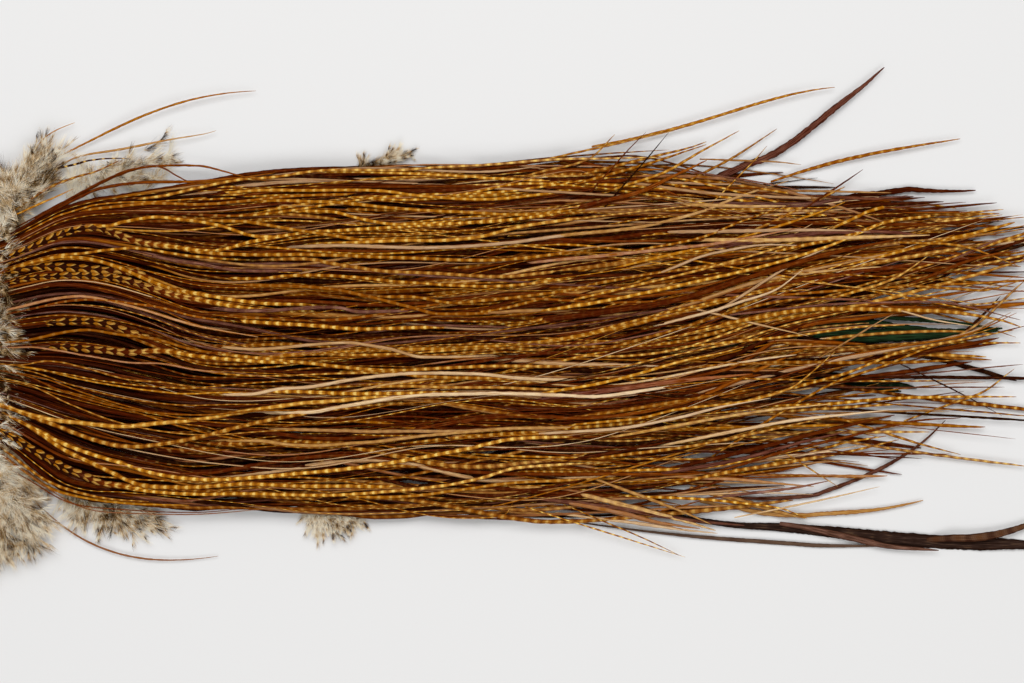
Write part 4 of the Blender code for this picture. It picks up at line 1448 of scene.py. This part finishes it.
def collar_plumes(layer, chance):
    """Barbs and tones of the fluff over the hackles' roots."""
    spots, spot_tones = np.array(COLLAR_TONES)[::-1].T
    plumes = []
    for _ in range(COLLAR_PLUMES):
        y = chance.uniform(spots[0], spots[-1])
        x = chance.uniform(*COLLAR_X)
        lane = layer.lanes_at(np.array([x]), np.array([y * MM]))
        z = layer.height(np.array([x]), lane, 1.0)[0] + chance.uniform(0, 1.2) * MM
        heading = chance.normal(0, 0.55) + 0.4 * np.sign(y) * (abs(y) / 40) ** 2
        tone = np.interp(y, spots, spot_tones)
        root = np.array([x, y * MM, z])
        plumes.append(plume_barbs(root, heading, chance.uniform(5, 10) * MM, tone, chance))
    return plumes


def under_edge_plumes(chance):
    """Barbs and tones of the fluff under the mat's lower edge."""
    start, end = (np.array(from_photo(pixel)) for pixel in UNDER_EDGE_LINE)
    plumes = []
    for _ in range(UNDER_EDGE_PLUMES):
        place = start + (end - start) * chance.uniform()
        root = np.array([*place, chance.uniform(0.8, 3.0) * MM])
        heading = np.radians(UNDER_EDGE_HEADING) + chance.normal(0, 0.3)
        plumes.append(plume_barbs(root, heading, chance.uniform(7, 11) * MM, UNDER_EDGE_TONE, chance))
    return plumes


def tuft_plumes(node, chance):
    """Barbs and tones of the plumes all over a tuft."""
    look = TUFTS[node]
    main = np.radians(look.heading)
    centre = corners(node).mean(axis=0)
    plumes = []
    for root in tuft_roots(node, look.plumes, chance):
        away = np.arctan2(root[1] - centre[1], root[0] - centre[0])
        turn = np.arctan2(np.sin(away - main), np.cos(away - main))
        toward = main + look.fan * (PLUME_TURN * turn + chance.normal(0, PLUME_SPREAD))
        length = chance.uniform(*PLUME_LENGTH) * look.size * MM
        set_back = np.array([np.cos(toward), np.sin(toward), 0]) * length * PLUME_SET_BACK
        inward = root * (1, 1, 0.8) - set_back
        inward[2] = max(inward[2], 0.6 * MM)
        plumes.append(plume_barbs(inward, toward, length, look.tone, chance))
    return plumes


def soft_mound(node):
    """The core of a tuft: its solid, made small, low and lumpy."""
    bm = bmesh.new()
    bm.from_mesh(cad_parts[node].data)
    bmesh.ops.remove_doubles(bm, verts=bm.verts[:], dist=0.01 * MM)
    bmesh.ops.subdivide_edges(bm, edges=bm.edges[:], cuts=2, use_grid_fill=True)
    middle = Vector(corners(node).mean(axis=0))
    for vert in bm.verts:
        vert.co = middle + (vert.co - middle) * MOUND_SIZE
        vert.co.z *= MOUND_FLATNESS + MOUND_LUMPS * noise.noise(vert.co * LUMP_SCALE)
        vert.co.z = max(vert.co.z, LOWEST_POINT)
    bmesh.ops.smooth_vert(
        bm, verts=bm.verts[:], factor=0.5, use_axis_x=True, use_axis_y=True, use_axis_z=True)
    return bm


def make_flat_plume():
    """A plume's barbs as flat strips, before they are bent to their places."""
    bm = bmesh.new()
    for _ in range(2 * BARBS_PER_SIDE):
        bmesh.ops.create_grid(bm, x_segments=BARB_STATIONS - 1, y_segments=1, size=1)
    mesh = bpy.data.meshes.new("flat plume")
    bm.to_mesh(mesh)
    bm.free()
    return mesh


def make_tuft(node, material, flat_plume, plumes, chance):
    """A tuft of down: a soft mound, and plumes of fine barbs all over it, besides those given."""
    plumes = plumes + tuft_plumes(node, chance)
    lines = np.concatenate([barbs for barbs, tones in plumes])
    tones = np.concatenate([tones for barbs, tones in plumes])
    bm = soft_mound(node)
    mound_points = len(bm.verts)
    for _ in plumes:
        bm.from_mesh(flat_plume)
    obj = new_mesh_piece(node + "_plumes", bm)
    mesh = obj.data
    points = point_places(mesh)
    strips = points[mound_points:].reshape(len(lines), -1, 3)
    station = np.rint((strips[:, :, 0] + 1) / 2 * (BARB_STATIONS - 1)).astype(int)
    along = station / (BARB_STATIONS - 1)
    number = np.arange(len(lines))[:, None]
    ahead = np.gradient(lines, axis=1)
    side = np.stack([-ahead[..., 1], ahead[..., 0], 0.4 * np.linalg.norm(ahead, axis=-1)], axis=-1)
    side /= np.linalg.norm(side, axis=-1)[..., None] + 1e-12
    half_width = (1.05 - along)[..., None] * BARB_HALF_WIDTH
    bent = lines[number, station] + side[number, station] * strips[:, :, 1:2] * half_width
    points[mound_points:] = bent.reshape(-1, 3)
    points[:, 2] = np.maximum(points[:, 2], LOWEST_POINT)
    mesh.vertices.foreach_set("co", points.ravel())
    tone_values = np.full(len(points), TUFTS[node].tone)
    tone_values[mound_points:] = tones[number, station].ravel()
    # Painted shade: barbs darker towards their roots, inside the tuft. Each plume is also a little lighter
    # or darker at random.
    shades = (0.85 + 0.2 * along) * chance.uniform(0.85, 1.1, (len(lines), 1))
    shade_values = np.full(len(points), MOUND_SHADE)
    shade_values[mound_points:] = shades.ravel()
    put_values(mesh, "tone", tone_values)
    put_values(mesh, "shade", shade_values)
    mesh.materials.append(material)
    mesh.shade_smooth()
    finish_piece(obj, "down", node)


def make_down(layer, chance):
    """All the tufts. The front one and the one on the lower flank have more plumes beside them."""
    material = make_down_material()
    flat_plume = make_flat_plume()
    for node in TUFTS:
        plumes = []
        if node == "down_front":
            plumes = collar_plumes(layer, chance)
        if node == "down_lower_flank":
            plumes = under_edge_plumes(chance)
        make_tuft(node, material, flat_plume, plumes, chance)
    bpy.data.meshes.remove(flat_plume)


LENS = 85
SENSOR = 36
# The height over the floor at which the photograph's scale holds.
SCALE_HEIGHT = 4.5 * MM


def add_camera():
    data = bpy.data.cameras.new("camera")
    data.lens = LENS
    data.sensor_width = SENSOR
    camera = bpy.data.objects.new("camera", data)
    bpy.context.scene.collection.objects.link(camera)
    view_width = PHOTO_SIZE[0] / PIXELS_PER_MM * MM
    x, y = from_photo((PHOTO_SIZE[0] / 2, PHOTO_SIZE[1] / 2))
    camera.location = (x, y, view_width * LENS / SENSOR + SCALE_HEIGHT)
    bpy.context.scene.camera = camera


FLOOR_COLOUR = (0.785, 0.78, 0.775)
FLOOR_DEPTH = 0.1 * MM


def add_floor():
    bm = bmesh.new()
    bmesh.ops.create_grid(bm, x_segments=1, y_segments=1, size=3)
    floor = new_mesh_piece("floor", bm)
    floor.location.z = -FLOOR_DEPTH
    material, tree, shader = new_material("floor")
    shader.inputs["Base Color"].default_value = (*FLOOR_COLOUR, 1)
    shader.inputs["Roughness"].default_value = 0.9
    shader.inputs["Specular IOR Level"].default_value = 0.1
    floor.data.materials.append(material)


LIT_POINT = (0.18, 0, 0)
BACKDROP_STRENGTH = 0.40


def add_area_light(name, place, size, power):
    data = bpy.data.lights.new(name, "AREA")
    data.shape = "RECTANGLE"
    data.size, data.size_y = size
    data.energy = power
    light = bpy.data.objects.new(name, data)
    light.location = place
    light.rotation_euler = (Vector(LIT_POINT) - Vector(place)).to_track_quat("-Z", "Y").to_euler()
    bpy.context.scene.collection.objects.link(light)


def add_light():
    world = bpy.data.worlds.new("studio")
    world.use_nodes = True
    backdrop = world.node_tree.nodes["Background"]
    backdrop.inputs["Color"].default_value = (1.0, 1.0, 1.0, 1)
    backdrop.inputs["Strength"].default_value = BACKDROP_STRENGTH
    bpy.context.scene.world = world
    add_area_light("upper soft box", (0.10, 0.75, 1.15), (1.3, 0.8), 12)
    add_area_light("lower soft box", (0.30, -0.85, 1.0), (1.2, 0.7), 6)
    bpy.context.scene.view_settings.view_transform = "Standard"


def trace_feathers(layer, chance):
    """The feathers that follow the photograph, by the row of the lock that each belongs to."""
    traced = {}
    for follow, table in ((traced_feather, TRACED), (loose_feather, LOOSE + GREEN_VANES)):
        for number, (finish, half_width, pixels) in enumerate(table):
            row, feather = follow(layer, finish, half_width, pixels, number, chance)
            traced.setdefault(row, []).append(feather)
    return traced


SEED = 23


def main():
    chance = np.random.default_rng(SEED)
    names = sorted(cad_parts)
    upper = Layer([name for name in names if name.startswith("upper_hackle")])
    lower_names = [name for name in names if name.startswith(("lower_hackle", "green_black"))]
    lower = Layer(sorted(lower_names, key=lambda name: -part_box(name)[1][1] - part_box(name)[0][1]))
    groups = (build_bars_group(), build_barbs_group())
    materials = {kind: make_vane_material(look, *groups) for kind, look in PLUMAGES.items()}
    traced = trace_feathers(upper, chance)
    make_locks(upper, UPPER_FEATHERS, UPPER_MIX, {"hackle": "barred_hackle"}, materials, chance, traced)
    slots = {"hackle": "mahogany_hackle", "green_black": "green_black_feather"}
    make_locks(lower, LOWER_FEATHERS, LOWER_MIX, slots, materials, chance, {})
    make_single_feathers(materials, chance)
    make_down(upper, chance)
    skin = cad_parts["skin"]
    skin.data.materials.clear()
    skin.data.materials.append(make_skin_material())
    add_camera()
    add_floor()
    add_light()


main()
